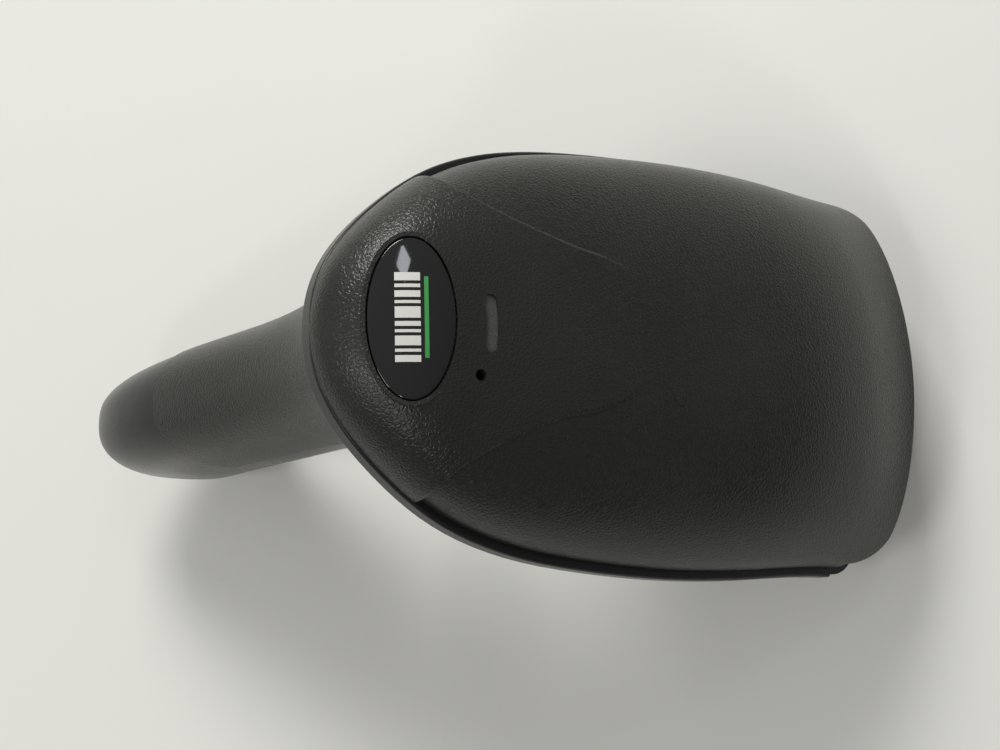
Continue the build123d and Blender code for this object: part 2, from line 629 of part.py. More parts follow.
with BuildPart() as housing_cuts:
    # opening for the trigger, in the front of the handle
    with BuildSketch(Plane.XZ):
        with BuildLine():
            Polyline(
                (PIVOT_X - TRIGGER_BOSS - TRIGGER_GAP, PIVOT_Z),
                (PIVOT_X + TRIGGER_BOSS + TRIGGER_GAP, PIVOT_Z),
                (PIVOT_X + TRIGGER_BOSS + TRIGGER_GAP, trigger_top + TRIGGER_GAP),
                (FAR / 4, trigger_top + TRIGGER_GAP),
                (FAR / 4, -opening_low),
                (PIVOT_X - TRIGGER_BOSS - TRIGGER_GAP, -opening_low),
                close=True,
            )
        make_face()
        with Locations((PIVOT_X, PIVOT_Z)):
            Circle(TRIGGER_BOSS + TRIGGER_GAP)
    extrude(amount=cheek_start, both=True)
    # bore for the trigger's pin, through both cheeks
    with BuildSketch(Plane.XZ):
        with Locations((PIVOT_X, PIVOT_Z)):
            Circle(PIN_RADIUS + TOUCH)
    extrude(amount=pin_length / 2 + TOUCH, both=True)
    # holes for the screws that come up into the top shell, sunk for their heads
    with BuildSketch(Plane.XY.offset(1)):
        with Locations(*head_screws):
            Circle(SCREW_RADIUS + FIT)
    extrude(amount=-FAR / 10)
    with BuildSketch(Plane.XY.offset(-HEAD_SCREW_SINK)):
        with Locations(*head_screws):
            Circle(SCREW_HEAD_RADIUS + FIT)
    extrude(amount=-FAR / 10)
    # pilot holes for the main board's screws and the imager's
    with BuildSketch(Plane.XY.offset(board_top)):
        with Locations(*board_posts):
            Circle(SCREW_RADIUS + TOUCH)
    extrude(amount=-BOARD_SCREW_LENGTH - 1)
    for side in (-1, 1):
        with Locations(lug_plane(side)):
            Cylinder(
                SCREW_RADIUS + TOUCH, ENGINE_SCREW_LENGTH + 1, align=(Align.CENTER, Align.CENTER, Align.MIN)
            )
    # sunk holes for the screws that hold the back cover
    for drop in HANDLE_SCREW_DROPS:
        seat_x = handle_edge(drop, 1.0) - HANDLE_SCREW_SINK
        with BuildSketch(Plane.YZ.offset(seat_x)):
            with Locations((0, -drop)):
                Circle(SCREW_HEAD_RADIUS + FIT)
        extrude(amount=FAR / 10)
        with BuildSketch(Plane.YZ.offset(seat_x)):
            with Locations((0, -drop)):
                Circle(SCREW_RADIUS + FIT)
        extrude(amount=-HANDLE_SCREW_LENGTH)
    # mouth of the cable socket, through the end of the butt
    with BuildSketch(Plane.XY.offset(-HANDLE_LENGTH - 1)):
        with Locations((JACK_X, 0)):
            Rectangle(SOCKET_DEPTH + 2 * WELL_MARGIN, SOCKET_WIDTH + 2 * WELL_MARGIN)
    extrude(amount=BUTT_WALL + 2)

with BuildPart() as lower_housing:
    add(belly_form)
    add(nose_trim(BELLY_INSET), mode=Mode.INTERSECT)
    add(rim.part)
    add(handle_front.part)
    add([belly_inside, handle_inside], mode=Mode.SUBTRACT)
    add(posts_above_floor.part)
    add(cheeks_and_ribs.part)
    add(housing_cuts.part, mode=Mode.SUBTRACT)

# ---- Back cover of the handle ----------------------------------------------------------------------
with BuildPart() as cover_bosses:
    with BuildSketch(Plane.YZ.offset(handle_board_x - TOUCH)):
        with Locations(*[(0, -drop) for drop in REAR_RIB_DROPS]):
            Rectangle(HANDLE_BOARD_WIDTH, RIB_THICKNESS)
    extrude(amount=-HANDLE_WIDTH)
    with BuildSketch(Plane.YZ.offset(screw_split_x - TOUCH)):
        with Locations(*[(0, -drop) for drop in HANDLE_SCREW_DROPS]):
            Circle(BOSS_RADIUS)
    extrude(amount=-HANDLE_WIDTH)
    add(handle_core, mode=Mode.INTERSECT)

with BuildPart() as handle_back_cover:
    add(handle_form)
    add(handle_inside, mode=Mode.SUBTRACT)
    add(cover_zone(FIT / 2), mode=Mode.INTERSECT)
    add(head_half(belly_curve, inset=BELLY_INSET - FIT, lift=FIT, up=-1), mode=Mode.SUBTRACT)
    add(cover_bosses.part)
    for drop in HANDLE_SCREW_DROPS:
        seat_x = handle_edge(drop, 1.0) - HANDLE_SCREW_SINK
        with BuildSketch(Plane.YZ.offset(seat_x)):
            with Locations((0, -drop)):
                Circle(SCREW_RADIUS + TOUCH)
        extrude(amount=-HANDLE_SCREW_LENGTH - 1, mode=Mode.SUBTRACT)

# ---- Nose: bezel, gasket and scan window -------------------------------------------------------------
with BuildPart() as nose_bezel:
    add(head_half(crown_curve, inset=LEDGE + SHELL_WALL + FIT, lift=-SHELL_WALL - FIT, start=ROOF_START))
    add(head_half(belly_curve, inset=LEDGE + SHELL_WALL + FIT, lift=-SHELL_WALL - FIT, start=FLOOR_START, up=-1))
    add(nose_trim(LEDGE, BEZEL_SETBACK), mode=Mode.INTERSECT)
    with BuildSketch(nose_plane.offset(-BEZEL_SETBACK - BEZEL_DEPTH)):
        Rectangle(FAR, FAR)
    extrude(amount=-FAR, mode=Mode.SUBTRACT)
    with BuildSketch(nose_plane):
        with Locations((0, WINDOW_RISE)):
            RectangleRounded(WINDOW_WIDTH, WINDOW_HEIGHT, WINDOW_CORNER)
    extrude(amount=-FAR / 10, mode=Mode.SUBTRACT)
    with BuildSketch(nose_plane.offset(-WINDOW_SETBACK)):
        with Locations((0, WINDOW_RISE)):
            RectangleRounded(pane_width + 2 * FIT, pane_height + 2 * FIT, WINDOW_CORNER + WINDOW_LAP + FIT)
    extrude(amount=-FAR / 10, mode=Mode.SUBTRACT)

with BuildPart() as window_gasket:
    with BuildSketch(nose_plane.offset(-WINDOW_SETBACK - TOUCH)):
        with Locations((0, WINDOW_RISE)):
            RectangleRounded(pane_width, pane_height, WINDOW_CORNER + WINDOW_LAP)
            RectangleRounded(WINDOW_WIDTH, WINDOW_HEIGHT, WINDOW_CORNER, mode=Mode.SUBTRACT)
    extrude(amount=TOUCH - GASKET_THICKNESS)

with BuildPart() as scan_window:
    with BuildSketch(nose_plane.offset(-WINDOW_SETBACK - GASKET_THICKNESS - TOUCH)):
        with Locations((0, WINDOW_RISE)):
            RectangleRounded(pane_width, pane_height, WINDOW_CORNER + WINDOW_LAP)
    extrude(amount=-WINDOW_THICKNESS)

# ---- Imager ----------------------------------------------------------------------------------------
with BuildPart() as engine_chassis:
    with BuildSketch(nose_plane.offset(engine_front)):
        with Locations((0, WINDOW_RISE)):
            RectangleRounded(ENGINE_WIDTH, ENGINE_HEIGHT, CHASSIS_CORNER)
    extrude(amount=-ENGINE_DEPTH)
    with BuildSketch(nose_plane.offset(engine_middle)):
        with Locations(*[(side * lug_y, lug_floor) for side in (-1, 1)]):
            Rectangle(LUG_WIDTH + 2 * TOUCH, LUG_HEIGHT, align=(Align.CENTER, Align.MIN))
    extrude(amount=LUG_WIDTH / 2, both=True)
    with BuildSketch(nose_plane.offset(engine_front)):
        with Locations((0, WINDOW_RISE)):
            Circle(barrel_radius + TOUCH)
    extrude(amount=BARREL_PROUD - BARREL_LENGTH, mode=Mode.SUBTRACT)
    with BuildSketch(nose_plane.offset(engine_front)):
        with Locations((0, WINDOW_RISE)):
            Circle(LENS_RADIUS - LENS_STOP)
    extrude(amount=-ENGINE_DEPTH, mode=Mode.SUBTRACT)
    with BuildSketch(nose_plane.offset(engine_back)):
        with Locations((0, WINDOW_RISE)):
            Rectangle(SENSOR_SIZE + 2 * SENSOR_MARGIN, SENSOR_SIZE + 2 * SENSOR_MARGIN)
    extrude(amount=CHAMBER_DEPTH, mode=Mode.SUBTRACT)
    for side in (-1, 1):
        with Locations(lug_plane(side)):
            Cylinder(SCREW_RADIUS + FIT, FAR / 10, mode=Mode.SUBTRACT)

with BuildPart() as lens_barrel:
    with BuildSketch(nose_plane.offset(barrel_front)):
        with Locations((0, WINDOW_RISE)):
            Circle(barrel_radius)
    extrude(amount=-BARREL_LENGTH)
    with BuildSketch(nose_plane.offset(barrel_front)):
        with Locations((0, WINDOW_RISE)):
            Circle(LENS_RADIUS + TOUCH)
    extrude(amount=-LENS_SINK - LENS_THICKNESS - TOUCH, mode=Mode.SUBTRACT)
    with BuildSketch(nose_plane.offset(barrel_front)):
        with Locations((0, WINDOW_RISE)):
            Circle(LENS_RADIUS - LENS_STOP)
    extrude(amount=-BARREL_LENGTH, mode=Mode.SUBTRACT)

with BuildPart() as lens:
    with BuildSketch(nose_plane.offset(barrel_front - LENS_SINK - LENS_THICKNESS)):
        with Locations((0, WINDOW_RISE)):
            Circle(LENS_RADIUS)
    extrude(amount=LENS_THICKNESS)
    fillet(edges().group_by(Axis.X)[-1], LENS_THICKNESS / 3)

with BuildPart() as imager_board:
    with BuildSketch(nose_plane.offset(engine_back - TOUCH)):
        with Locations((0, WINDOW_RISE)):
            RectangleRounded(ENGINE_WIDTH - CHASSIS_CORNER, ENGINE_HEIGHT - CHASSIS_CORNER, CHASSIS_CORNER / 2)
    extrude(amount=-PLATE)

with BuildPart() as image_sensor:
    with BuildSketch(nose_plane.offset(engine_back)):
        with Locations((0, WINDOW_RISE)):
            Rectangle(SENSOR_SIZE, SENSOR_SIZE)
    extrude(amount=SENSOR_HEIGHT)

with BuildPart() as illumination_board:
    with BuildSketch(nose_plane.offset(engine_front + TOUCH)):
        with Locations((0, WINDOW_RISE)):
            RectangleRounded(LAMP_BOARD_WIDTH, LAMP_BOARD_HEIGHT, CHASSIS_CORNER)
            Circle(barrel_radius + FIT, mode=Mode.SUBTRACT)
    extrude(amount=PLATE)

with BuildPart() as illumination_leds:
    with BuildSketch(nose_plane.offset(engine_front + 2 * TOUCH + PLATE)):
        for side in (-1, 1):
            for place in range(LAMPS_PER_SIDE):
                with Locations((side * (barrel_radius + LAMP_SIZE / 2 + 1 + place * LAMP_PITCH), WINDOW_RISE)):
                    Rectangle(LAMP_SIZE, LAMP_SIZE)
    extrude(amount=LAMP_HEIGHT)

# ---- Electronics in the head -----------------------------------------------------------------------
with BuildPart() as main_board:
    with BuildSketch(Plane.XY.offset(BOARD_LEVEL)):
        with Locations((board_middle, 0)):
            RectangleRounded(board_length, 2 * BOARD_HALF_WIDTH, BOARD_CORNER)
        with Locations(*board_posts):
            Circle(SCREW_RADIUS + FIT, mode=Mode.SUBTRACT)
    extrude(amount=PLATE)

with BuildPart() as processor_chip:
    with BuildSketch(Plane.XY.offset(board_top + TOUCH)):
        with Locations((CHIP_X, 0)):
            Rectangle(CHIP_SIZE, CHIP_SIZE)
    extrude(amount=CHIP_HEIGHT)
    chamfer(edges().group_by(Axis.Z)[-1], CHIP_HEIGHT / 4)

with BuildPart() as memory_chip:
    with BuildSketch(Plane.XY.offset(board_top + TOUCH)):
        with Locations((CHIP_X, CHIP_SIZE)):
            Rectangle(MEMORY_LENGTH, MEMORY_WIDTH)
    extrude(amount=CHIP_HEIGHT)
    chamfer(edges().group_by(Axis.Z)[-1], CHIP_HEIGHT / 4)

with BuildPart() as status_led:
    with BuildSketch(Plane.XY.offset(board_top + TOUCH)):
        with Locations((LIGHT_X, LIGHT_Y)):
            Rectangle(LIGHT_WIDTH - 2 * FIT, 2 * LIGHT_WIDTH)
    extrude(amount=LAMP_TALL)

with BuildPart() as sounder:
    with BuildSketch(Plane.XY.offset(board_top + TOUCH)):
        with Locations((SOUND_X - SOUNDER_SHIFT, SOUND_Y - SOUNDER_SHIFT)):
            Circle(SOUNDER_RADIUS)
            Circle(SOUND_HOLE / 2, mode=Mode.SUBTRACT)
    extrude(amount=SOUNDER_HEIGHT)

with BuildPart() as ribbon_connectors:
    with BuildSketch(Plane.XY.offset(BOARD_LEVEL - TOUCH)):
        with Locations((CONNECTOR_X, 0)):
            Rectangle(CONNECTOR_DEPTH, CONNECTOR_WIDTH)
    extrude(amount=-CONNECTOR_HEIGHT)
    with BuildSketch(Plane.YZ.offset(handle_board_x - TOUCH)):
        with Locations((0, HANDLE_BOARD_TOP - CONNECTOR_DEPTH)):
            Rectangle(CONNECTOR_WIDTH, CONNECTOR_DEPTH)
    extrude(amount=-CONNECTOR_HEIGHT)

with BuildPart() as ribbon_cable:
    ribbon_x = handle_board_x - CONNECTOR_HEIGHT / 2
    with BuildSketch(Plane.XZ):
        with BuildLine():
            FilletPolyline(
                (CONNECTOR_X, BOARD_LEVEL - CONNECTOR_HEIGHT - 2 * TOUCH),
                (CONNECTOR_X, BOARD_LEVEL - 2 * CONNECTOR_HEIGHT - RIBBON_BEND),
                (ribbon_x, HANDLE_BOARD_TOP + RIBBON_BEND),
                (ribbon_x, HANDLE_BOARD_TOP - CONNECTOR_DEPTH / 2 + 2 * TOUCH),
                radius=RIBBON_BEND,
            )
        trace(line_width=RIBBON_THICKNESS)
    extrude(amount=RIBBON_WIDTH / 2, both=True)

# ---- Handle's board, switch and trigger ----------------------------------------------------------------
with BuildPart() as handle_board:
    with BuildSketch(Plane.YZ.offset(handle_board_x)):
        with Locations((0, HANDLE_BOARD_TOP)):
            Rectangle(
                HANDLE_BOARD_WIDTH, handle_board_low + HANDLE_BOARD_TOP, align=(Align.CENTER, Align.MAX)
            )
        with Locations(*[(0, -drop) for drop in HANDLE_SCREW_DROPS]):
            Circle(BOSS_RADIUS + 2 * FIT, mode=Mode.SUBTRACT)
    extrude(amount=PLATE)

with BuildPart() as trigger_switch:
    with BuildSketch(Plane.YZ.offset(switch_back)):
        with Locations((0, plunger_z)):
            Rectangle(SWITCH_WIDTH, SWITCH_HEIGHT)
    extrude(amount=switch_front - switch_back)
    chamfer(edges().group_by(Axis.X)[-1], SWITCH_CHAMFER)
    with BuildSketch(Plane.YZ.offset(switch_front)):
        with Locations((0, plunger_z)):
            Circle(PLUNGER_RADIUS + PIN_CLEARANCE)
    extrude(amount=plunger_back - PLUNGER_TRAVEL - PLUNGER_GAP - switch_front, mode=Mode.SUBTRACT)

with BuildPart() as switch_plunger:
    with BuildSketch(Plane.YZ.offset(plunger_back)):
        with Locations((0, plunger_z)):
            Circle(PLUNGER_RADIUS)
    extrude(amount=PLUNGER_LENGTH)
    fillet(edges().group_by(Axis.X)[-1], PLUNGER_RADIUS / 3)

with BuildPart() as trigger:
    with BuildSketch(Plane.XZ):
        with BuildLine():
            finger = Spline(
                (PIVOT_X + TRIGGER_REACH, trigger_top),
                (PIVOT_X + TRIGGER_REACH - TRIGGER_HOLLOW, PIVOT_Z - TRIGGER_DROP * TRIGGER_WAIST),
                (PIVOT_X + TRIGGER_REACH - TRIGGER_CURL, PIVOT_Z - TRIGGER_DROP),
            )
            Polyline(
                finger @ 1,
                (PIVOT_X + TRIGGER_BOSS, PIVOT_Z - TRIGGER_DROP),
                (PIVOT_X, PIVOT_Z - TRIGGER_DROP + TRIGGER_EDGE * 2),
                (PIVOT_X - TRIGGER_BOSS + PAD_RADIUS, PIVOT_Z),
                (PIVOT_X, PIVOT_Z + TRIGGER_BOSS),
                (PIVOT_X + TRIGGER_BOSS, trigger_top),
                finger @ 0,
            )
        make_face()
        with Locations((PIVOT_X, PIVOT_Z)):
            Circle(TRIGGER_BOSS)
        with Locations((pad_x + PAD_RADIUS, plunger_z)):
            Circle(PAD_RADIUS)
            Rectangle(2 * PAD_RADIUS, 2 * PAD_RADIUS, align=(Align.MIN, Align.CENTER))
    extrude(amount=TRIGGER_WIDTH / 2, both=True)
    with BuildSketch(Plane.XZ):
        with Locations((PIVOT_X, PIVOT_Z)):
            Circle(PIN_RADIUS + PIN_CLEARANCE)
    extrude(amount=TRIGGER_WIDTH, both=True, mode=Mode.SUBTRACT)

with BuildPart() as trigger_pin:
    with BuildSketch(Plane.XZ):
        with Locations((PIVOT_X, PIVOT_Z)):
            Circle(PIN_RADIUS)
    extrude(amount=pin_length / 2, both=True)

# ---- Cable socket --------------------------------------------------------------------------------------
with BuildPart() as cable_jack:
    with BuildSketch(Plane.XY.offset(TOUCH - jack_low)):
        with Locations((JACK_X, 0)):
            Rectangle(jack_depth, jack_width)
    extrude(amount=jack_height)
    with BuildSketch(Plane.XY.offset(-jack_low)):
        with Locations((JACK_X, 0)):
            Rectangle(SOCKET_DEPTH, SOCKET_WIDTH)
        with Locations((JACK_X + SOCKET_DEPTH / 2, 0)):
            Rectangle(LATCH_DEPTH, LATCH_WIDTH)
    extrude(amount=SOCKET_LENGTH, mode=Mode.SUBTRACT)

with BuildPart() as jack_contacts:
    with BuildSketch(Plane.XY.offset(SOCKET_LENGTH - jack_low - TOUCH)):
        with Locations((JACK_X - SOCKET_DEPTH / 2 + CONTACT_SIZE / 2 + TOUCH, 0)):
            with GridLocations(1, CONTACT_PITCH, 1, SOCKET_WAYS):
                Rectangle(CONTACT_SIZE, CONTACT_SIZE)
    extrude(amount=-CONTACT_LENGTH)


# ---- Screws ------------------------------------------------------------------------------------------
def screw(length):
    """A pan-head screw with a six-sided socket: its seat at the origin, its shank along Z."""
    with BuildPart() as form:
        with BuildSketch(Plane.XZ):
            with BuildLine():
                Polyline(
                    (0, -SCREW_HEAD_HEIGHT),
                    (SCREW_HEAD_RADIUS - SCREW_HEAD_CUT, -SCREW_HEAD_HEIGHT),
                    (SCREW_HEAD_RADIUS, SCREW_HEAD_CUT - SCREW_HEAD_HEIGHT),
                    (SCREW_HEAD_RADIUS, 0),
                    (SCREW_RADIUS, 0),
                    (SCREW_RADIUS, length - SCREW_RADIUS / 2),
                    (SCREW_RADIUS / 2, length),
                    (0, length),
                    close=True,
                )
            make_face()
        revolve(axis=Axis.Z)
        with BuildSketch(Plane.XY.offset(-SCREW_HEAD_HEIGHT)):
            RegularPolygon(SCREW_RADIUS, 6)
        extrude(amount=SCREW_SOCKET_DEPTH, mode=Mode.SUBTRACT)
    return form.part


with BuildPart() as head_screw_set:
    with Locations(*[(x, y, -HEAD_SCREW_SINK - TOUCH) for x, y in head_screws]):
        add(screw(HEAD_SCREW_LENGTH))

with BuildPart() as handle_screw_set:
    for drop in HANDLE_SCREW_DROPS:
        seat = Plane((handle_edge(drop, 1.0) - HANDLE_SCREW_SINK + TOUCH, 0, -drop), z_dir=(-1, 0, 0))
        with Locations(seat):
            add(screw(HANDLE_SCREW_LENGTH))

with BuildPart() as board_screw_set:
    for x, y in board_posts:
        with Locations(Plane((x, y, board_top + TOUCH), z_dir=(0, 0, -1))):
            add(screw(BOARD_SCREW_LENGTH))

with BuildPart() as engine_screw_set:
    for side in (-1, 1):
        with Locations(lug_plane(side)):
            add(screw(ENGINE_SCREW_LENGTH))

# ---- Rest pose and export ------------------------------------------------------------------------------
toe_x = handle_edge(HANDLE_LENGTH, 1.0) - SEAM_STEP - butt_edge
toe_z = butt_edge - HANDLE_LENGTH
lip_z = -reach(belly_curve, NOSE_X - BELLY_DEPTH * tan(lean))
lip_x = NOSE_X + lip_z * tan(lean)
tip = degrees(atan2(lip_z - toe_z, lip_x - toe_x) + asin(butt_edge / hypot(lip_x - toe_x, lip_z - toe_z)))
pieces = {
    "top_shell": top_shell,
    "badge": badge,
    "light_pipe": light_pipe,
    "lower_housing": lower_housing,
    "handle_back_cover": handle_back_cover,
    "nose_bezel": nose_bezel,
    "window_gasket": window_gasket,
    "scan_window": scan_window,
    "engine_chassis": engine_chassis,
    "lens_barrel": lens_barrel,
    "lens": lens,
    "imager_board": imager_board,
    "image_sensor": image_sensor,
    "illumination_board": illumination_board,
    "illumination_leds": illumination_leds,
    "main_board": main_board,
    "processor_chip": processor_chip,
    "memory_chip": memory_chip,
    "status_led": status_led,
    "sounder": sounder,
    "ribbon_connectors": ribbon_connectors,
    "ribbon_cable": ribbon_cable,
    "handle_board": handle_board,
    "trigger_switch": trigger_switch,
    "switch_plunger": switch_plunger,
    "trigger": trigger,
    "trigger_pin": trigger_pin,
    "cable_jack": cable_jack,
    "jack_contacts": jack_contacts,
    "head_screws": head_screw_set,
    "handle_screws": handle_screw_set,
    "board_screws": board_screw_set,
    "engine_screws": engine_screw_set,
}
tipped = {name: Rot(0, tip, 0) * piece.part for name, piece in pieces.items()}
boxes = [shape.bounding_box() for shape in tipped.values()]
low_x = min(box.min.X for box in boxes)
high_x = max(box.max.X for box in boxes)
low_z = min(box.min.Z for box in boxes)
resting = Pos(-(low_x + high_x) / 2, 0, -low_z)

os.makedirs("parts", exist_ok=True)
for name, shape in tipped.items():
    placed = resting * shape
    placed.label = name
    export_step(placed, f"parts/{name}.step")
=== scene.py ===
"""Looks for a pistol-grip barcode scanner lying on a table, laid out as a Blender add-on.

Every piece of the scanner comes from the frame. The operators below give each one the finish of
the real material, model the domed badge with its printed bars, and set the table, the lamps and
the camera.
"""

import math

import bpy
from mathutils import Matrix, Vector


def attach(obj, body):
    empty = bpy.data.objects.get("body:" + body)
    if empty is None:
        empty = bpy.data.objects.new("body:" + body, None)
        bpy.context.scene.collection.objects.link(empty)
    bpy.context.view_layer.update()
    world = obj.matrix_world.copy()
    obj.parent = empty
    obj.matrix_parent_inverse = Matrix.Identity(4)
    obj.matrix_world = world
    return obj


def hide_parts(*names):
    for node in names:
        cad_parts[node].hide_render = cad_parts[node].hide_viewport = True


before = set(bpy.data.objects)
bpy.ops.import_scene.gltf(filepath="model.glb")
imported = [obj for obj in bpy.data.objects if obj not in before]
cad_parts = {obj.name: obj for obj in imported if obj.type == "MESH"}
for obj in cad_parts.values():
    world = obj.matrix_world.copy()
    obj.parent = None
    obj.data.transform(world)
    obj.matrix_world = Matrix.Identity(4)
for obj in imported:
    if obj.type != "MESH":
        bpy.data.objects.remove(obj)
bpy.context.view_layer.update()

bl_info = {
    "name": "Barcode scanner looks",
    "version": (1, 0, 0),
    "blender": (4, 5, 0),
    "location": "3D View > Sidebar > Scanner",
    "description": "Finishes every piece of a handheld barcode scanner and sets it on a table",
    "category": "Object",
}

MM = 0.001
ABS_IOR = 1.53
ABS_GLOSS = 0.36  # specular level of every ABS moulding
NYLON_IOR = 1.53
TRIGGER_ROUGHNESS = 0.34
BEZEL_ROUGHNESS = 0.5
SMOOTH_ANGLE = math.radians(35)  # edges sharper than this stay crisp
SHARP_ANGLE = math.radians(50)  # the trigger's edges over this are eased
EDGE_STEPS = 3
WELD_GAP = 0.001 * MM

STRETCH = (0.3, 0.7)  # the middle of a noise pattern, spread over its whole range
GRAIN_BEND = 0.6  # how far a pebble is bent out of shape, as a share of its width
PEBBLE_EDGE = 0.28  # share of a pebble's width over which its side rises
FINE_SHARE = 0.35  # height of the finest grain, as a share of a pebble's

# The head's own axes, in which its creases are laid out: the rear end of the head on its parting
# plane, and how far the head leans forward on the table.
HEAD_PLACE = (-11.293 * MM, 0.0, 98.330 * MM)
HEAD_TIP = math.radians(44.801)

# A crease seen from over the head: where it leaves the shell's edge, the turn from the head's
# length to its chord, and the span and depth of which its course gives shares.
CREASE_START = (18.6 * MM, 30.5 * MM, 0.0)
CREASE_TURN = math.radians(29.38)
CREASE_SPAN = 50 * MM
CREASE_DEPTH = 6 * MM
CREASE_WIDTH = 0.65 * MM
CREASE_COURSE = ((0.046, 0.414), (0.228, 0.787), (0.465, 0.631), (0.700, 0.198), (0.893, 0.0))
CREASE_FADE = (0.55, 0.85)  # shares of the span between which it dies out

TOP_SLOPE = 0.5  # a face whose normal rises by more than this is on the CAD badge's top
DISC_SLOPE = 0.9  # and likewise for the top of the disc that the dome is raised from
EDGE_SLACK = 0.01 * MM  # how far from the dome's foot its edge is looked for
DOME_SIDES = 128
DOME_RINGS = 10
DOME_EDGE_STEPS = 6
INK_THICKNESS = 0.06 * MM
INK_CUTS = 6  # so that a bar can follow the dome
BAR_WIDTHS = (1.1, 0.5, 1.6, 0.5, 0.8, 1.9, 0.5, 1.1, 0.6, 1.4)  # millimetres
PRINT_SHIFT = 0.6 * MM  # how far behind the badge's middle the bars' middle lies
LINE_GAP = 1.0 * MM  # from the ends of the bars to the line's middle
LINE_WIDTH = 0.7 * MM
LINE_LENGTH = 13.6 * MM

TABLE_SIZE = 8.0
CAMERA_PLACE = (0.074314, -0.058840, 0.325652)
CAMERA_TURN = (11.351, 13.535, -1.504)  # degrees
SENSOR_WIDTH = 36.0  # millimetres
# name, place, what it faces, width and colour; the power of each is a setting
LAMPS = (
    ("key", (-0.15, 0.95, 0.85), (0, 0, 0.03), 0.45, "fffefa"),
    ("overhead", (-0.42, -0.3, 1.05), (0, 0, 0.05), 0.3, "fffdf8"),
    ("glint", (-0.1, -0.68, 0.92), (-0.03, 0, 0.08), 0.12, "ffffff"),
    ("window", (0.374, 0.56, 1.154), (0.01, 0, 0.1), 0.14, "f4f8ff"),
)
BRIGHT_SIDE = (-0.45, 0.65, 0.6)  # where the soft light from all round is strongest
FILL_RANGE = (-0.7, 0.9)  # how far towards that side it is weakest and strongest
FILL_SHARES = (0.3, 1.3)  # its strength at those two, as shares of the setting


# ---- Shared helpers -----------------------------------------------------------------------------


def linear(colour):
    """A hex colour such as "2b2b2d" as linear red, green, blue and alpha."""
    channels = [int(colour[i : i + 2], 16) / 255 for i in (0, 2, 4)]
    return [c / 12.92 if c <= 0.04045 else ((c + 0.055) / 1.055) ** 2.4 for c in channels] + [1.0]


def add_node(tree, kind, inputs=None, links=None, **settings):
    """A shader node with its settings, the values of its sockets and the outputs that feed it."""
    node = tree.nodes.new(kind)
    for name, value in settings.items():
        setattr(node, name, value)
    for socket, value in (inputs or {}).items():
        node.inputs[socket].default_value = value
    for socket, source in (links or {}).items():
        tree.links.new(source, node.inputs[socket])
    return node


def new_material(name, **sockets):
    """A material with one Principled shader, whose plain sockets are set here."""
    material = bpy.data.materials.new(name)
    material.use_nodes = True
    tree = material.node_tree
    tree.nodes.clear()
    shader = add_node(tree, "ShaderNodeBsdfPrincipled")
    for socket, value in sockets.items():
        shader.inputs[socket.replace("_", " ")].default_value = value
    add_node(tree, "ShaderNodeOutputMaterial", links={"Surface": shader.outputs["BSDF"]})
    return material, tree, shader


def finish(material, *names):
    """Gives CAD pieces their one material."""
    for name in names:
        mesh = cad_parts[name].data
        mesh.materials.clear()
        mesh.materials.append(material)


def object_place(tree):
    """Each point's own place on the piece, in metres."""
    return add_node(tree, "ShaderNodeTexCoord").outputs["Object"]


def speckle(tree, place, size, detail=2.0):
    """Soft noise whose blotches are about one size across, in metres."""
    return add_node(
        tree,
        "ShaderNodeTexNoise",
        inputs={"Scale": 1 / size, "Detail": detail},
        links={"Vector": place},
    ).outputs["Fac"]


def band_scale(width):
    """The wave texture's scale at which its dark and light bands are about one width across."""
    return 0.5 / width / math.pi


def spread(tree, source, low, high):
    """A 0 to 1 pattern turned into values between low and high, with its middle stretched."""
    return add_node(
        tree,
        "ShaderNodeMapRange",
        inputs={"From Min": STRETCH[0], "From Max": STRETCH[1], "To Min": low, "To Max": high},
        links={"Value": source},
    ).outputs["Result"]


def shade(colour, factor):
    """A linear colour made darker or lighter, still opaque."""
    return [factor * c for c in colour[:3]] + [1.0]


def plug_tint(tree, shader, source, dark, light):
    """Colours the shader between two close shades."""
    ramp = add_node(tree, "ShaderNodeValToRGB", links={"Fac": source})
    ramp.color_ramp.elements[0].color = dark
    ramp.color_ramp.elements[0].position = STRETCH[0]
    ramp.color_ramp.elements[1].color = light
    ramp.color_ramp.elements[1].position = STRETCH[1]
    tree.links.new(ramp.outputs["Color"], shader.inputs["Base Color"])


def plug_bump(tree, shader, height, depth, strength=1.0):
    """Raises the surface by a pattern of heights, in which 1 stands for depth, in metres."""
    bump = add_node(
        tree,
        "ShaderNodeBump",
        inputs={"Strength": strength, "Distance": depth},
        links={"Height": height},
    )
    tree.links.new(bump.outputs["Normal"], shader.inputs["Normal"])


def settle(piece, body):
    """Puts a new piece's place into its mesh, then has it ride on a CAD body."""
    bpy.ops.object.select_all(action="DESELECT")
    piece.select_set(True)
    bpy.context.view_layer.objects.active = piece
    bpy.ops.object.transform_apply(location=True, rotation=True, scale=True)
    bpy.ops.object.shade_smooth_by_angle(angle=SMOOTH_ANGLE)
    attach(piece, body)


def select_faces(mesh_object, wanted):
    """Selects the faces that pass a test, in edit mode."""
    bpy.ops.object.mode_set(mode="OBJECT")
    mesh = mesh_object.data
    for part in (mesh.vertices, mesh.edges, mesh.polygons):
        part.foreach_set("select", [False] * len(part))
    for face in mesh.polygons:
        face.select = wanted(face)
    bpy.ops.object.mode_set(mode="EDIT")
    bpy.ops.mesh.select_mode(type="FACE")


# ---- Settings -----------------------------------------------------------------------------------


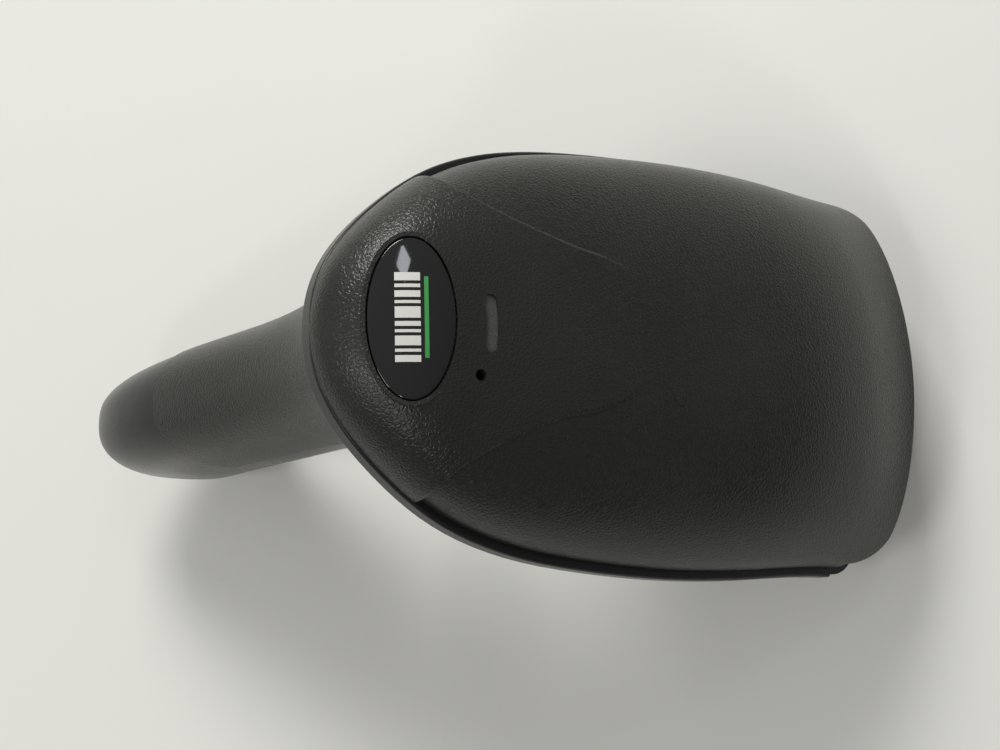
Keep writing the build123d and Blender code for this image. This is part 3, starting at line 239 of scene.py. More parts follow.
class ShellSettings(bpy.types.PropertyGroup):
    """The moulded plastics of the outside."""

    shell_colour: bpy.props.FloatVectorProperty(
        name="Shell",
        description="Colour of the grained top shell and back cover",
        default=linear("252623"),
        size=4,
        subtype="COLOR",
    )
    housing_colour: bpy.props.FloatVectorProperty(
        name="Housing",
        description="Colour of the satin lower housing",
        default=linear("1c1d1e"),
        size=4,
        subtype="COLOR",
    )
    grain_size: bpy.props.FloatProperty(
        name="Grain size",
        description="Width of one pebble of the leather grain",
        default=0.75 * MM,
        unit="LENGTH",
    )
    crease_height: bpy.props.FloatProperty(
        name="Crease",
        description="Crisp rise at the creases",
        default=0.2 * MM,
        unit="LENGTH",
        precision=6,
    )
    grain_depth: bpy.props.FloatProperty(
        name="Grain depth",
        description="Depth of the creases between pebbles",
        default=0.04 * MM,
        unit="LENGTH",
    )
    shell_roughness: bpy.props.FloatProperty(
        name="Shell roughness",
        description="Roughness of the grained plastic",
        default=0.31,
        subtype="FACTOR",
    )
    trigger_edge: bpy.props.FloatProperty(
        name="Trigger edge",
        description="Width of the bevel that eases the trigger's edges",
        default=0.5 * MM,
        unit="LENGTH",
    )
    housing_roughness: bpy.props.FloatProperty(
        name="Housing roughness",
        description="Roughness of the satin plastic",
        default=0.26,
        subtype="FACTOR",
    )


class BadgeSettings(bpy.types.PropertyGroup):
    """The domed oval badge and the plain bars printed on it."""

    badge_colour: bpy.props.FloatVectorProperty(
        name="Badge",
        description="Colour of the gloss badge",
        default=linear("060607"),
        size=4,
        subtype="COLOR",
    )
    bar_colour: bpy.props.FloatVectorProperty(
        name="Bars",
        description="Colour of the printed bars",
        default=linear("dcdcd8"),
        size=4,
        subtype="COLOR",
    )
    accent_colour: bpy.props.FloatVectorProperty(
        name="Accent",
        description="Colour of the line under the bars",
        default=linear("3f9a4e"),
        size=4,
        subtype="COLOR",
    )
    dome_height: bpy.props.FloatProperty(
        name="Dome",
        description="How far the badge's middle stands over its edge",
        default=0.9 * MM,
        unit="LENGTH",
    )
    edge_width: bpy.props.FloatProperty(
        name="Edge",
        description="Width of the badge's rounded edge",
        default=0.3 * MM,
        unit="LENGTH",
    )
    bar_length: bpy.props.FloatProperty(
        name="Bar length", description="Length of the printed bars", default=4.2 * MM, unit="LENGTH"
    )
    bar_gap: bpy.props.FloatProperty(
        name="Bar gap", description="Space between two bars", default=0.55 * MM, unit="LENGTH"
    )


class OpticsSettings(bpy.types.PropertyGroup):
    """The scan window, the lens and the translucent status light."""

    window_colour: bpy.props.FloatVectorProperty(
        name="Window",
        description="Colour of the red acrylic",
        default=linear("c81e1e"),
        size=4,
        subtype="COLOR",
    )
    lens_colour: bpy.props.FloatVectorProperty(
        name="Lens coating",
        description="Tint of the coated lens",
        default=linear("b9c4e6"),
        size=4,
        subtype="COLOR",
    )
    light_pipe_colour: bpy.props.FloatVectorProperty(
        name="Status light",
        description="Colour of the unlit light pipe",
        default=linear("4b4c4a"),
        size=4,
        subtype="COLOR",
    )


class StudioSettings(bpy.types.PropertyGroup):
    """The table, the lamps and the camera."""

    table_colour: bpy.props.FloatVectorProperty(
        name="Table",
        description="Colour of the table top",
        default=linear("e4e4e0"),
        size=4,
        subtype="COLOR",
    )
    key_power: bpy.props.FloatProperty(
        name="Key light",
        description="Power of the large lamp at the scanner's left",
        default=10.5,
        unit="POWER",
    )
    overhead_power: bpy.props.FloatProperty(
        name="Overhead light",
        description="Power of the lamp over the handle",
        default=2.4,
        unit="POWER",
    )
    glint_power: bpy.props.FloatProperty(
        name="Glint",
        description="Power of the small lamp that picks out the rear corner",
        default=0.9,
        unit="POWER",
    )
    window_power: bpy.props.FloatProperty(
        name="Window light",
        description="Power of the small bright lamp",
        default=0.35,
        unit="POWER",
    )
    fill_strength: bpy.props.FloatProperty(
        name="Fill", description="Strength of the light from all round", default=0.34, min=0.0
    )
    focal_length: bpy.props.FloatProperty(
        name="Lens", description="Focal length of the camera", default=54.0, unit="CAMERA"
    )


# ---- Materials of the outside -------------------------------------------------------------------


def crease_rise(tree, place):
    """0 on the shell's two side panels and 1 on its crown, along the crease that parts them and
    until it fades out towards the nose. Both sides are alike."""
    head = add_node(
        tree,
        "ShaderNodeMapping",
        inputs={"Location": HEAD_PLACE, "Rotation": (0.0, HEAD_TIP, 0.0)},
        links={"Vector": place},
        vector_type="TEXTURE",
    )
    parts = add_node(tree, "ShaderNodeSeparateXYZ", links={"Vector": head.outputs["Vector"]})
    aside = add_node(tree, "ShaderNodeMath", links={0: parts.outputs["Y"]}, operation="ABSOLUTE")
    folded = add_node(
        tree, "ShaderNodeCombineXYZ", links={"X": parts.outputs["X"], "Y": aside.outputs["Value"]}
    )
    along = add_node(
        tree,
        "ShaderNodeMapping",
        inputs={
            "Location": CREASE_START,
            "Rotation": (0.0, 0.0, -CREASE_TURN),
            "Scale": (CREASE_SPAN, -CREASE_DEPTH, 1.0),
        },
        links={"Vector": folded.outputs["Vector"]},
        vector_type="TEXTURE",
    )
    shares = add_node(tree, "ShaderNodeSeparateXYZ", links={"Vector": along.outputs["Vector"]})
    course = add_node(tree, "ShaderNodeFloatCurve", links={"Value": shares.outputs["X"]})
    points = course.mapping.curves[0].points
    for share, depth in CREASE_COURSE:
        points.new(share, depth)
    points[0].location = (0.0, 0.0)
    points[len(points) - 1].location = (1.0, 0.0)
    course.mapping.update()
    inside = add_node(
        tree,
        "ShaderNodeMath",
        links={0: shares.outputs["Y"], 1: course.outputs["Value"]},
        operation="SUBTRACT",
    )
    half = 0.5 * CREASE_WIDTH / CREASE_DEPTH
    rise = add_node(
        tree,
        "ShaderNodeMapRange",
        inputs={"From Min": -half, "From Max": half},
        links={"Value": inside.outputs["Value"]},
        interpolation_type="SMOOTHSTEP",
    )
    fade = add_node(
        tree,
        "ShaderNodeMapRange",
        inputs={
            "From Min": CREASE_FADE[0],
            "From Max": CREASE_FADE[1],
            "To Min": 1.0,
            "To Max": 0.0,
        },
        links={"Value": shares.outputs["X"]},
        interpolation_type="SMOOTHSTEP",
    )
    return add_node(
        tree,
        "ShaderNodeMath",
        links={0: rise.outputs["Result"], 1: fade.outputs["Result"]},
        operation="MULTIPLY",
    ).outputs["Value"]


def grained_abs(settings):
    """Moulded ABS with an etched leather grain: small round pebbles that catch the light, and a
    soft sheen that wanders a little where hands have rubbed the grain down."""
    material, tree, shader = new_material("grained_abs", IOR=ABS_IOR, Specular_IOR_Level=ABS_GLOSS)
    place = object_place(tree)
    bend = add_node(
        tree,
        "ShaderNodeTexNoise",
        inputs={"Scale": 0.5 / settings.grain_size, "Detail": 2.0},
        links={"Vector": place},
    )
    wander = add_node(
        tree,
        "ShaderNodeVectorMath",
        inputs={"Scale": GRAIN_BEND * settings.grain_size},
        links={0: bend.outputs["Color"]},
        operation="SCALE",
    )
    bent = add_node(
        tree,
        "ShaderNodeVectorMath",
        links={0: place, 1: wander.outputs["Vector"]},
        operation="ADD",
    )
    cells = add_node(
        tree,
        "ShaderNodeTexVoronoi",
        inputs={"Scale": 1 / settings.grain_size, "Randomness": 1.0},
        links={"Vector": bent.outputs["Vector"]},
        feature="DISTANCE_TO_EDGE",
    )
    pebble = add_node(
        tree,
        "ShaderNodeMapRange",
        inputs={"From Min": 0.0, "From Max": PEBBLE_EDGE},
        links={"Value": cells.outputs["Distance"]},
        interpolation_type="SMOOTHSTEP",
    )
    fine = speckle(tree, place, 0.25 * MM, 3.0)
    height = add_node(
        tree,
        "ShaderNodeMath",
        inputs={1: FINE_SHARE},
        links={0: fine, 2: pebble.outputs["Result"]},
        operation="MULTIPLY_ADD",
    )
    rubbed = speckle(tree, place, 22 * MM, 3.0)
    creased = add_node(
        tree,
        "ShaderNodeMath",
        inputs={1: settings.crease_height / settings.grain_depth},
        links={0: crease_rise(tree, place), 2: height.outputs["Value"]},
        operation="MULTIPLY_ADD",
    )
    plug_bump(tree, shader, creased.outputs["Value"], settings.grain_depth)
    tree.links.new(
        spread(tree, rubbed, settings.shell_roughness - 0.04, settings.shell_roughness + 0.05),
        shader.inputs["Roughness"],
    )
    colour = settings.shell_colour
    plug_tint(tree, shader, rubbed, shade(colour, 0.9), shade(colour, 1.12))
    return material


def satin_abs(name, colour, roughness):
    """Moulded ABS from a lightly blasted tool: an even satin face with a very fine orange peel."""
    material, tree, shader = new_material(name, IOR=ABS_IOR, Specular_IOR_Level=ABS_GLOSS)
    place = object_place(tree)
    peel = speckle(tree, place, 0.5 * MM, 3.0)
    smear = speckle(tree, place, 18 * MM, 4.0)
    plug_bump(tree, shader, peel, 0.006 * MM)
    tree.links.new(
        spread(tree, smear, roughness - 0.03, roughness + 0.05), shader.inputs["Roughness"]
    )
    plug_tint(tree, shader, smear, shade(colour, 0.93), shade(colour, 1.08))
    return material


class SCANNER_OT_shell(bpy.types.Operator):
    """Grained ABS on the top shell and on the handle's back cover"""

    bl_idname = "scanner.shell"
    bl_label = "Top shell and back cover"

    def execute(self, context):
        finish(grained_abs(context.scene.scanner_shell), "top_shell", "handle_back_cover")
        return {"FINISHED"}


class SCANNER_OT_housing(bpy.types.Operator):
    """Satin ABS on the lower housing"""

    bl_idname = "scanner.housing"
    bl_label = "Lower housing"

    def execute(self, context):
        settings = context.scene.scanner_shell
        satin = satin_abs("satin_abs", settings.housing_colour, settings.housing_roughness)
        finish(satin, "lower_housing")
        return {"FINISHED"}


class SCANNER_OT_trigger(bpy.types.Operator):
    """Satin ABS on the trigger, acetal on the plunger and nylon on the switch"""

    bl_idname = "scanner.trigger"
    bl_label = "Trigger"

    def execute(self, context):
        settings = context.scene.scanner_shell
        finish(
            satin_abs("trigger_abs", settings.housing_colour, TRIGGER_ROUGHNESS), "trigger"
        )
        # the finger runs over this moulding, so its edges are eased; the overlap clamp would stop
        # the bevel, and without it faces cross beside the shortest edges
        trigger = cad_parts["trigger"]
        trigger.modifiers.new("joined", "WELD").merge_threshold = WELD_GAP
        rounded = trigger.modifiers.new("rounded", "BEVEL")
        rounded.width = settings.trigger_edge
        rounded.segments = EDGE_STEPS
        rounded.limit_method = "ANGLE"
        rounded.angle_limit = SHARP_ANGLE
        rounded.use_clamp_overlap = False
        rounded.harden_normals = True
        # acetal: waxy off-white, turned smooth
        acetal, tree, shader = new_material("acetal", IOR=1.48, Subsurface_Weight=0.1)
        shader.inputs["Subsurface Radius"].default_value = (0.001, 0.001, 0.001)
        streak = speckle(tree, object_place(tree), 1.5 * MM)
        tree.links.new(spread(tree, streak, 0.28, 0.4), shader.inputs["Roughness"])
        plug_tint(tree, shader, streak, linear("d8d5cb"), linear("e3e0d7"))
        finish(acetal, "switch_plunger")
        # glass-filled nylon: dull black with pale flecks of fibre
        nylon, tree, shader = new_material("glass_filled_nylon", IOR=NYLON_IOR, Roughness=0.5)
        flecks = speckle(tree, object_place(tree), 0.3 * MM, 4.0)
        plug_tint(tree, shader, flecks, linear("161617"), linear("2b2b2c"))
        plug_bump(tree, shader, flecks, 0.01 * MM)
        finish(nylon, "trigger_switch")
        return {"FINISHED"}


# ---- Badge --------------------------------------------------------------------------------------


def badge_seat():
    """From the badge's CAD piece: its underside's place and turn, its half width and half length
    and its height."""
    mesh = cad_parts["badge"].data
    upward = Vector((0.0, 0.0, 0.0))
    for face in mesh.polygons:
        if face.normal.z > TOP_SLOPE:
            upward += face.normal * face.area
    normal = upward.normalized()
    across = Vector((0.0, 1.0, 0.0))
    along = across.cross(normal)
    corners = [vertex.co for vertex in mesh.vertices]
    lows = [min(co.dot(axis) for co in corners) for axis in (along, across, normal)]
    highs = [max(co.dot(axis) for co in corners) for axis in (along, across, normal)]
    middles = [(low + high) / 2 for low, high in zip(lows, highs)]
    half_width = (highs[0] - lows[0]) / 2
    half_length = (highs[1] - lows[1]) / 2
    foot = along * middles[0] + across * middles[1] + normal * lows[2]
    turn = Matrix((along, across, normal)).transposed().to_4x4()
    return Matrix.Translation(foot) @ turn, half_width, half_length, highs[2] - lows[2]


def dome_badge(settings):
    """A shallow oval dome with a rounded edge, raised from a disc ring by ring."""
    place, half_width, half_length, height = badge_seat()
    body = height - settings.dome_height
    bpy.ops.object.select_all(action="DESELECT")
    bpy.ops.mesh.primitive_cylinder_add(
        vertices=DOME_SIDES,
        radius=half_width,
        depth=body,
        end_fill_type="NGON",
        location=(0, 0, body / 2),
    )
    piece = bpy.context.object
    piece.name = "badge_dome"
    piece.scale = (1.0, half_length / half_width, 1.0)
    bpy.ops.object.transform_apply(location=True, rotation=True, scale=True)
    select_faces(piece, lambda face: face.normal.z > DISC_SLOPE)
    for ring in range(DOME_RINGS - 1):
        outer = 1 - ring / DOME_RINGS
        inner = 1 - (ring + 1) / DOME_RINGS
        bpy.ops.mesh.extrude_region_move(
            TRANSFORM_OT_translate={"value": (0, 0, settings.dome_height * (outer**2 - inner**2))}
        )
        bpy.ops.transform.resize(
            value=(inner / outer, inner / outer, 1.0), center_override=(0, 0, 0)
        )
    bpy.ops.object.mode_set(mode="OBJECT")
    for edge in piece.data.edges:
        ends = [piece.data.vertices[i].co for i in edge.vertices]
        edge.select = all(abs(co.z - body) < EDGE_SLACK for co in ends)
    bpy.ops.object.mode_set(mode="EDIT")
    bpy.ops.mesh.select_mode(type="EDGE")
    bpy.ops.mesh.bevel(offset=settings.edge_width, segments=DOME_EDGE_STEPS)
    bpy.ops.object.mode_set(mode="OBJECT")
    piece.matrix_world = place
    return piece


def printed_bar(name, width, length, middle):
    """One bar of raised ink: a thin block, cut up so that it can follow the dome."""
    bpy.ops.object.select_all(action="DESELECT")
    bpy.ops.mesh.primitive_cube_add(size=1.0, location=middle)
    bar = bpy.context.object
    bar.name = name
    bar.scale = (length, width, INK_THICKNESS)
    bpy.ops.object.transform_apply(location=True, rotation=True, scale=True)
    bpy.ops.object.mode_set(mode="EDIT")
    bpy.ops.mesh.select_all(action="SELECT")
    bpy.ops.mesh.subdivide(number_cuts=INK_CUTS)
    bpy.ops.object.mode_set(mode="OBJECT")
    return bar


class SCANNER_OT_badge(bpy.types.Operator):
    """A domed gloss badge, with plain bars and a line as its only print"""

    bl_idname = "scanner.badge"
    bl_label = "Badge"

    def execute(self, context):
        settings = context.scene.scanner_badge
        place, half_width, half_length, height = badge_seat()
        # polished acrylic: deep black with a clear, wet gloss
        gloss, tree, shader = new_material(
            "polished_acrylic", IOR=1.49, Coat_Weight=0.5, Coat_Roughness=0.02
        )
        dust = speckle(tree, object_place(tree), 3 * MM, 6.0)
        tree.links.new(spread(tree, dust, 0.03, 0.09), shader.inputs["Roughness"])
        plug_tint(tree, shader, dust, settings.badge_colour, shade(settings.badge_colour, 1.3))
        dome = dome_badge(settings)
        dome.data.materials.append(gloss)
        settle(dome, "housing")
        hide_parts("badge")
        finish(gloss, "badge")

        # screen-printed ink: dry and even, standing a hair over the gloss
        bar_middle = -PRINT_SHIFT
        line_middle = settings.bar_length * 0.5 + LINE_GAP - PRINT_SHIFT
        bar_widths = [width * MM for width in BAR_WIDTHS]
        for name, colour, widths, length, middle in (
            ("badge_bars", settings.bar_colour, bar_widths, settings.bar_length, bar_middle),
            ("badge_line", settings.accent_colour, [LINE_LENGTH], LINE_WIDTH, line_middle),
        ):
            ink, tree, shader = new_material("ink_" + name, IOR=1.45)
            grit = speckle(tree, object_place(tree), 0.2 * MM)
            tree.links.new(spread(tree, grit, 0.35, 0.5), shader.inputs["Roughness"])
            plug_tint(tree, shader, grit, shade(colour, 0.94), colour)
            y = -(sum(widths) + settings.bar_gap * (len(widths) - 1)) / 2
            bars = []
            for number, width in enumerate(widths):
                bar_place = (middle, y + width / 2, height)
                bars.append(printed_bar(f"{name}_{number}", width, length, bar_place))
                y += width + settings.bar_gap
            bpy.ops.object.select_all(action="DESELECT")
            for bar in bars:
                bar.select_set(True)
            bpy.context.view_layer.objects.active = bars[0]
            if len(bars) > 1:
                bpy.ops.object.join()
            ink_piece = bpy.context.object
            ink_piece.name = name
            for vertex in ink_piece.data.vertices:
                out = (vertex.co.x / half_width) ** 2 + (vertex.co.y / half_length) ** 2
                vertex.co.z -= settings.dome_height * out
            ink_piece.matrix_world = place
            ink_piece.data.materials.append(ink)
            settle(ink_piece, "housing")
        return {"FINISHED"}


# ---- Light pipe, nose and imager ----------------------------------------------------------------


class SCANNER_OT_light(bpy.types.Operator):
    """A frosted light pipe, and clear resin on its lamp and on the imager's"""

    bl_idname = "scanner.light"
    bl_label = "Status light and lamps"

    def execute(self, context):
        colour = context.scene.scanner_optics.light_pipe_colour
        # frosted polycarbonate: milky grey, so the lamp below spreads along the slot
        pipe, tree, shader = new_material("frosted_polycarbonate", IOR=1.58, Subsurface_Weight=0.4)
        shader.inputs["Subsurface Radius"].default_value = (0.0015, 0.0015, 0.0015)
        frost = speckle(tree, object_place(tree), 0.4 * MM, 3.0)
        tree.links.new(spread(tree, frost, 0.22, 0.36), shader.inputs["Roughness"])
        plug_tint(tree, shader, frost, shade(colour, 0.93), colour)
        plug_bump(tree, shader, frost, 0.008 * MM)
        finish(pipe, "light_pipe")
        # clear-cast LED resin: pale and glossy, faintly yellow
        resin, tree, shader = new_material("led_resin", IOR=1.52, Transmission_Weight=0.3)
        cloud = speckle(tree, object_place(tree), 0.8 * MM)
        tree.links.new(spread(tree, cloud, 0.08, 0.16), shader.inputs["Roughness"])
        plug_tint(tree, shader, cloud, linear("e6e0cc"), linear("f2eedd"))
        finish(resin, "status_led", "illumination_leds")
        return {"FINISHED"}


class SCANNER_OT_nose(bpy.types.Operator):
    """The matte bezel, its foam gasket and the red scan window"""

    bl_idname = "scanner.nose"
    bl_label = "Nose"

    def execute(self, context):
        colour = context.scene.scanner_optics.window_colour
        finish(satin_abs("matte_abs", linear("1d1d1f"), BEZEL_ROUGHNESS), "nose_bezel")
        # closed-cell foam: dead matte with open pores
        foam, tree, shader = new_material("closed_cell_foam", IOR=1.45, Roughness=0.95)
        pores = add_node(
            tree,
            "ShaderNodeTexVoronoi",
            inputs={"Scale": 1 / (0.45 * MM)},
            links={"Vector": object_place(tree)},
        ).outputs["Distance"]
        plug_tint(tree, shader, pores, linear("1a1a1b"), linear("0e0e0f"))
        plug_bump(tree, shader, pores, 0.08 * MM)
        finish(foam, "window_gasket")
        # cast acrylic dyed red: flat and polished, clear to the imager behind it
        window, tree, shader = new_material("red_acrylic", IOR=1.49, Transmission_Weight=0.92)
        haze = speckle(tree, object_place(tree), 6 * MM, 5.0)
        tree.links.new(spread(tree, haze, 0.01, 0.05), shader.inputs["Roughness"])
        plug_tint(tree, shader, haze, shade(colour, 0.95), colour)
        finish(window, "scan_window")
        return {"FINISHED"}


class SCANNER_OT_imager(bpy.types.Operator):
    """The anodised imager with its coated lens"""

    bl_idname = "scanner.imager"
    bl_label = "Imager"

    def execute(self, context):
        # black anodised aluminium: die cast and bead blasted, with a grey metal glint under the dye
        metal, tree, shader = new_material("black_anodised_aluminium", Metallic=0.85)
        blast = speckle(tree, object_place(tree), 0.2 * MM, 3.0)
        tree.links.new(spread(tree, blast, 0.38, 0.52), shader.inputs["Roughness"])
        plug_tint(tree, shader, blast, linear("222225"), linear("2f2f33"))
        plug_bump(tree, shader, blast, 0.01 * MM)
        finish(metal, "engine_chassis", "lens_barrel")
        # optical glass with a coating that turns its reflection blue
        glass, tree, shader = new_material(
            "coated_glass",
            IOR=1.52,
            Transmission_Weight=1.0,
            Thin_Film_Thickness=420.0,
            Thin_Film_IOR=1.38,
        )
        wipe = speckle(tree, object_place(tree), 2 * MM, 3.0)
        tree.links.new(spread(tree, wipe, 0.0, 0.02), shader.inputs["Roughness"])
        colour = context.scene.scanner_optics.lens_colour
        plug_tint(tree, shader, wipe, shade(colour, 0.97), colour)
        finish(glass, "lens")
        # silicon under its cover glass: dark and mirror-like, with a faint grid of cells
        sensor, tree, shader = new_material("silicon", IOR=1.5, Roughness=0.08, Coat_Weight=1.0)
        rows = add_node(
            tree,
            "ShaderNodeTexBrick",
            inputs={
                "Scale": 1 / (1.2 * MM),
                "Color1": linear("243a38"),
                "Color2": linear("2c3350"),
                "Mortar": linear("101214"),
                "Mortar Size": 0.05,
            },
            links={"Vector": object_place(tree)},
        )
        tree.links.new(rows.outputs["Color"], shader.inputs["Base Color"])
        finish(sensor, "image_sensor")
        return {"FINISHED"}


# ---- Electronics --------------------------------------------------------------------------------


class SCANNER_OT_electronics(bpy.types.Operator):
    """Boards with their chips, the sounder, the connectors and the ribbon between them"""

    bl_idname = "scanner.electronics"
    bl_label = "Electronics"

    def execute(self, context):
        # green solder mask over glass-epoxy board: glossy lacquer, lighter along the copper tracks
        board, tree, shader = new_material(
            "green_solder_mask", IOR=1.52, Coat_Weight=0.4, Coat_Roughness=0.15
        )
        place = object_place(tree)
        tracks = add_node(
            tree,
            "ShaderNodeTexBrick",
            inputs={
                "Scale": 1 / (6 * MM),
                "Color1": linear("0f4a2a"),
                "Color2": linear("12532f"),
                "Mortar": linear("24714a"),
                "Mortar Size": 0.04,
                "Mortar Smooth": 0.3,
            },
            links={"Vector": place},
        )
        tree.links.new(tracks.outputs["Color"], shader.inputs["Base Color"])
        lacquer = speckle(tree, place, 1.2 * MM, 3.0)
        tree.links.new(spread(tree, lacquer, 0.25, 0.4), shader.inputs["Roughness"])
        plug_bump(tree, shader, tracks.outputs["Fac"], 0.03 * MM, 0.6)
        finish(board, "main_board", "handle_board", "imager_board", "illumination_board")
        # moulded epoxy: charcoal with a dull, sandy face
        epoxy, tree, shader = new_material("moulded_epoxy", IOR=1.55)
        sand = speckle(tree, object_place(tree), 0.12 * MM, 3.0)
        tree.links.new(spread(tree, sand, 0.5, 0.66), shader.inputs["Roughness"])
        plug_tint(tree, shader, sand, linear("1a1a1b"), linear("262627"))
        plug_bump(tree, shader, sand, 0.006 * MM)
        finish(epoxy, "processor_chip", "memory_chip", "sounder")
        # moulded nylon: warm ivory, slightly waxy
        nylon, tree, shader = new_material("ivory_nylon", IOR=NYLON_IOR, Subsurface_Weight=0.08)
        shader.inputs["Subsurface Radius"].default_value = (0.001, 0.0008, 0.0006)
        cloud = speckle(tree, object_place(tree), 2 * MM, 3.0)
        tree.links.new(spread(tree, cloud, 0.36, 0.48), shader.inputs["Roughness"])
        plug_tint(tree, shader, cloud, linear("d6ceb8"), linear("e4ddc9"))
        finish(nylon, "ribbon_connectors")
        # polyimide film over copper traces: amber and glossy, with darker lines along the cable
        film, tree, shader = new_material("polyimide_film", IOR=1.7)
        place = object_place(tree)
        lines = add_node(
            tree,
            "ShaderNodeTexWave",
            inputs={"Scale": band_scale(1.0 * MM), "Distortion": 0.0},
            links={"Vector": place},
            bands_direction="Y",
        ).outputs["Fac"]
        plug_tint(tree, shader, lines, linear("a8641c"), linear("d08a35"))
        tree.links.new(spread(tree, lines, 0.16, 0.26), shader.inputs["Roughness"])
        finish(film, "ribbon_cable")
        return {"FINISHED"}


class SCANNER_OT_socket(bpy.types.Operator):
    """The cord's socket: a nylon jack with gold-plated contacts"""

    bl_idname = "scanner.socket"
    bl_label = "Cable socket"

    def execute(self, context):
        # moulded nylon: black and dull, with the slight ripple of its tool
        nylon, tree, shader = new_material("black_nylon", IOR=NYLON_IOR)
        ripple = speckle(tree, object_place(tree), 0.8 * MM, 3.0)
        tree.links.new(spread(tree, ripple, 0.42, 0.56), shader.inputs["Roughness"])
        plug_tint(tree, shader, ripple, linear("202022"), linear("2b2b2e"))
        plug_bump(tree, shader, ripple, 0.01 * MM)
        finish(nylon, "cable_jack")
        # hard gold plate on phosphor bronze: warm, bright and finely scuffed by the plug
        gold, tree, shader = new_material("gold_plate", Metallic=1.0)
        scuff = speckle(tree, object_place(tree), 0.3 * MM, 4.0)
        tree.links.new(spread(tree, scuff, 0.15, 0.3), shader.inputs["Roughness"])
        plug_tint(tree, shader, scuff, linear("d9aa4e"), linear("efc873"))
        finish(gold, "jack_contacts")
        return {"FINISHED"}


class SCANNER_OT_fasteners(bpy.types.Operator):
    """Zinc-plated steel on the screws and ground steel on the trigger's pin"""

    bl_idname = "scanner.fasteners"
    bl_label = "Screws and pin"

    def execute(self, context):
        # zinc-plated steel: cold-headed, grey-white with a slight cloudiness
        zinc, tree, shader = new_material("zinc_plated_steel", Metallic=1.0)
        cloud = speckle(tree, object_place(tree), 0.6 * MM, 4.0)
        tree.links.new(spread(tree, cloud, 0.24, 0.42), shader.inputs["Roughness"])
        plug_tint(tree, shader, cloud, linear("9fa1a3"), linear("c3c5c6"))
        finish(zinc, "head_screws", "handle_screws", "board_screws", "engine_screws")
        # ground steel: bright, with fine lines round the pin
        ground, tree, shader = new_material("ground_steel", Metallic=1.0)
        rings = add_node(
            tree,
            "ShaderNodeTexWave",
            inputs={"Scale": band_scale(0.15 * MM), "Distortion": 1.0, "Detail": 2.0},
            links={"Vector": object_place(tree)},
            bands_direction="Y",
        ).outputs["Fac"]
        tree.links.new(spread(tree, rings, 0.14, 0.26), shader.inputs["Roughness"])
        plug_tint(tree, shader, rings, linear("b4b6b8"), linear("cfd1d3"))
        finish(ground, "trigger_pin")
        return {"FINISHED"}


# ---- Stage --------------------------------------------------------------------------------------


def aimed_lamp(name, place, target, size, power, colour):
    """A square area lamp at a place, facing a target."""
    bpy.ops.object.select_all(action="DESELECT")
    bpy.ops.object.light_add(type="AREA", location=place)
    lamp = bpy.context.object
    lamp.name = name
    lamp.rotation_euler = (Vector(target) - Vector(place)).to_track_quat("-Z", "Y").to_euler()
    lamp.data.size = size
    lamp.data.energy = power
    lamp.data.color = linear(colour)[:3]


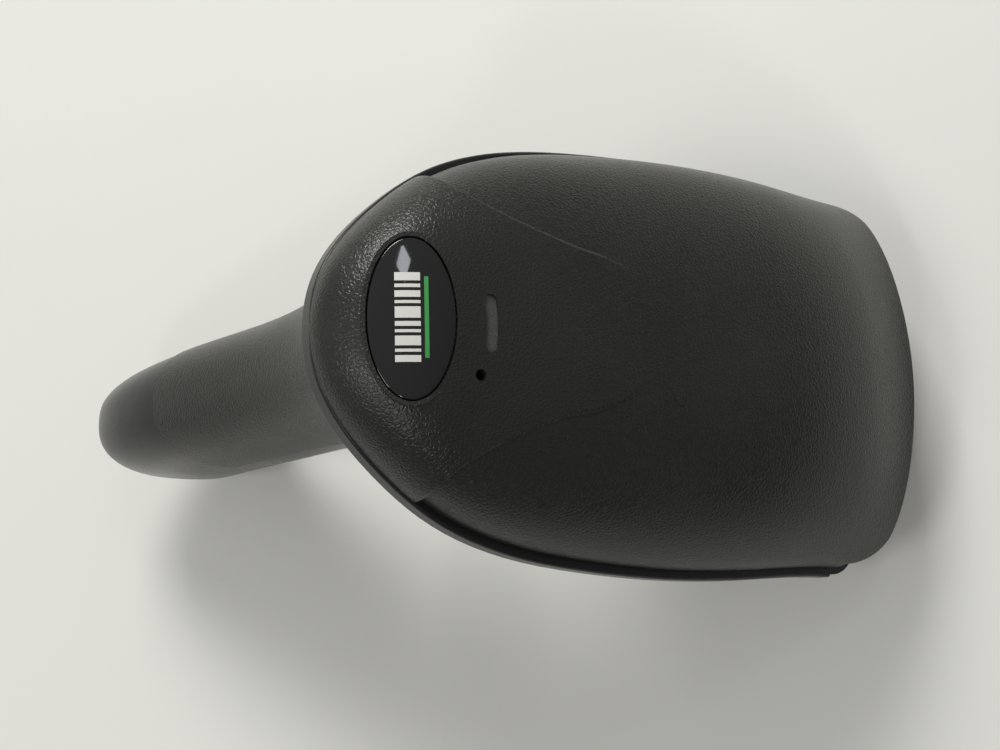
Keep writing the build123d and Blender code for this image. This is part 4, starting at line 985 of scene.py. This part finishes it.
class SCANNER_OT_stage(bpy.types.Operator):
    """The table, the lamps and the camera"""

    bl_idname = "scanner.stage"
    bl_label = "Table, lamps and camera"

    def execute(self, context):
        settings = context.scene.scanner_studio
        bpy.ops.object.select_all(action="DESELECT")
        bpy.ops.mesh.primitive_plane_add(size=TABLE_SIZE)
        table = bpy.context.object
        table.name = "table"
        # melamine-faced board: pale and almost matte
        melamine, tree, shader = new_material("melamine_board", IOR=1.45)
        mottle = speckle(tree, object_place(tree), 60 * MM, 3.0)
        tree.links.new(spread(tree, mottle, 0.5, 0.6), shader.inputs["Roughness"])
        plug_tint(tree, shader, mottle, shade(settings.table_colour, 0.99), settings.table_colour)
        table.data.materials.append(melamine)

        for name, place, aim, size, colour in LAMPS:
            aimed_lamp(name, place, aim, size, getattr(settings, name + "_power"), colour)

        world = bpy.data.worlds.new("studio")
        world.use_nodes = True
        background = world.node_tree.nodes["Background"]
        background.inputs["Color"].default_value = linear("fcfcfa")
        towards = add_node(
            world.node_tree,
            "ShaderNodeVectorMath",
            inputs={1: BRIGHT_SIDE},
            links={0: add_node(world.node_tree, "ShaderNodeTexCoord").outputs["Generated"]},
            operation="DOT_PRODUCT",
        )
        fill = add_node(
            world.node_tree,
            "ShaderNodeMapRange",
            inputs={
                "From Min": FILL_RANGE[0],
                "From Max": FILL_RANGE[1],
                "To Min": FILL_SHARES[0] * settings.fill_strength,
                "To Max": FILL_SHARES[1] * settings.fill_strength,
            },
            links={"Value": towards.outputs["Value"]},
        )
        world.node_tree.links.new(fill.outputs["Result"], background.inputs["Strength"])
        context.scene.world = world

        bpy.ops.object.camera_add(
            location=CAMERA_PLACE, rotation=[math.radians(angle) for angle in CAMERA_TURN]
        )
        camera = bpy.context.object
        camera.data.lens = settings.focal_length
        camera.data.sensor_width = SENSOR_WIDTH
        context.scene.camera = camera
        context.scene.view_settings.view_transform = "Standard"
        return {"FINISHED"}


# ---- Panel and registration ---------------------------------------------------------------------

OPERATORS = (
    SCANNER_OT_shell,
    SCANNER_OT_housing,
    SCANNER_OT_trigger,
    SCANNER_OT_badge,
    SCANNER_OT_light,
    SCANNER_OT_nose,
    SCANNER_OT_imager,
    SCANNER_OT_electronics,
    SCANNER_OT_socket,
    SCANNER_OT_fasteners,
    SCANNER_OT_stage,
)
SETTINGS = {
    "scanner_shell": ShellSettings,
    "scanner_badge": BadgeSettings,
    "scanner_optics": OpticsSettings,
    "scanner_studio": StudioSettings,
}


class SCANNER_PT_panel(bpy.types.Panel):
    """Lists the scanner's pieces and their settings"""

    bl_idname = "SCANNER_PT_panel"
    bl_label = "Barcode scanner"
    bl_space_type = "VIEW_3D"
    bl_region_type = "UI"
    bl_category = "Scanner"

    def draw(self, context):
        for name, group in SETTINGS.items():
            box = self.layout.box()
            for key in group.__annotations__:
                box.prop(getattr(context.scene, name), key)
        for operator in OPERATORS:
            self.layout.operator(operator.bl_idname)


def register():
    for group in (*SETTINGS.values(), *OPERATORS, SCANNER_PT_panel):
        bpy.utils.register_class(group)
    for name, group in SETTINGS.items():
        setattr(bpy.types.Scene, name, bpy.props.PointerProperty(type=group))


def unregister():
    for name in SETTINGS:
        delattr(bpy.types.Scene, name)
    for group in (SCANNER_PT_panel, *reversed(OPERATORS), *SETTINGS.values()):
        bpy.utils.unregister_class(group)


def main():
    """Registers the add-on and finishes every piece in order."""
    register()
    for operator in OPERATORS:
        getattr(bpy.ops.scanner, operator.bl_idname.split(".")[1])()


if __name__ == "__main__":
    main()
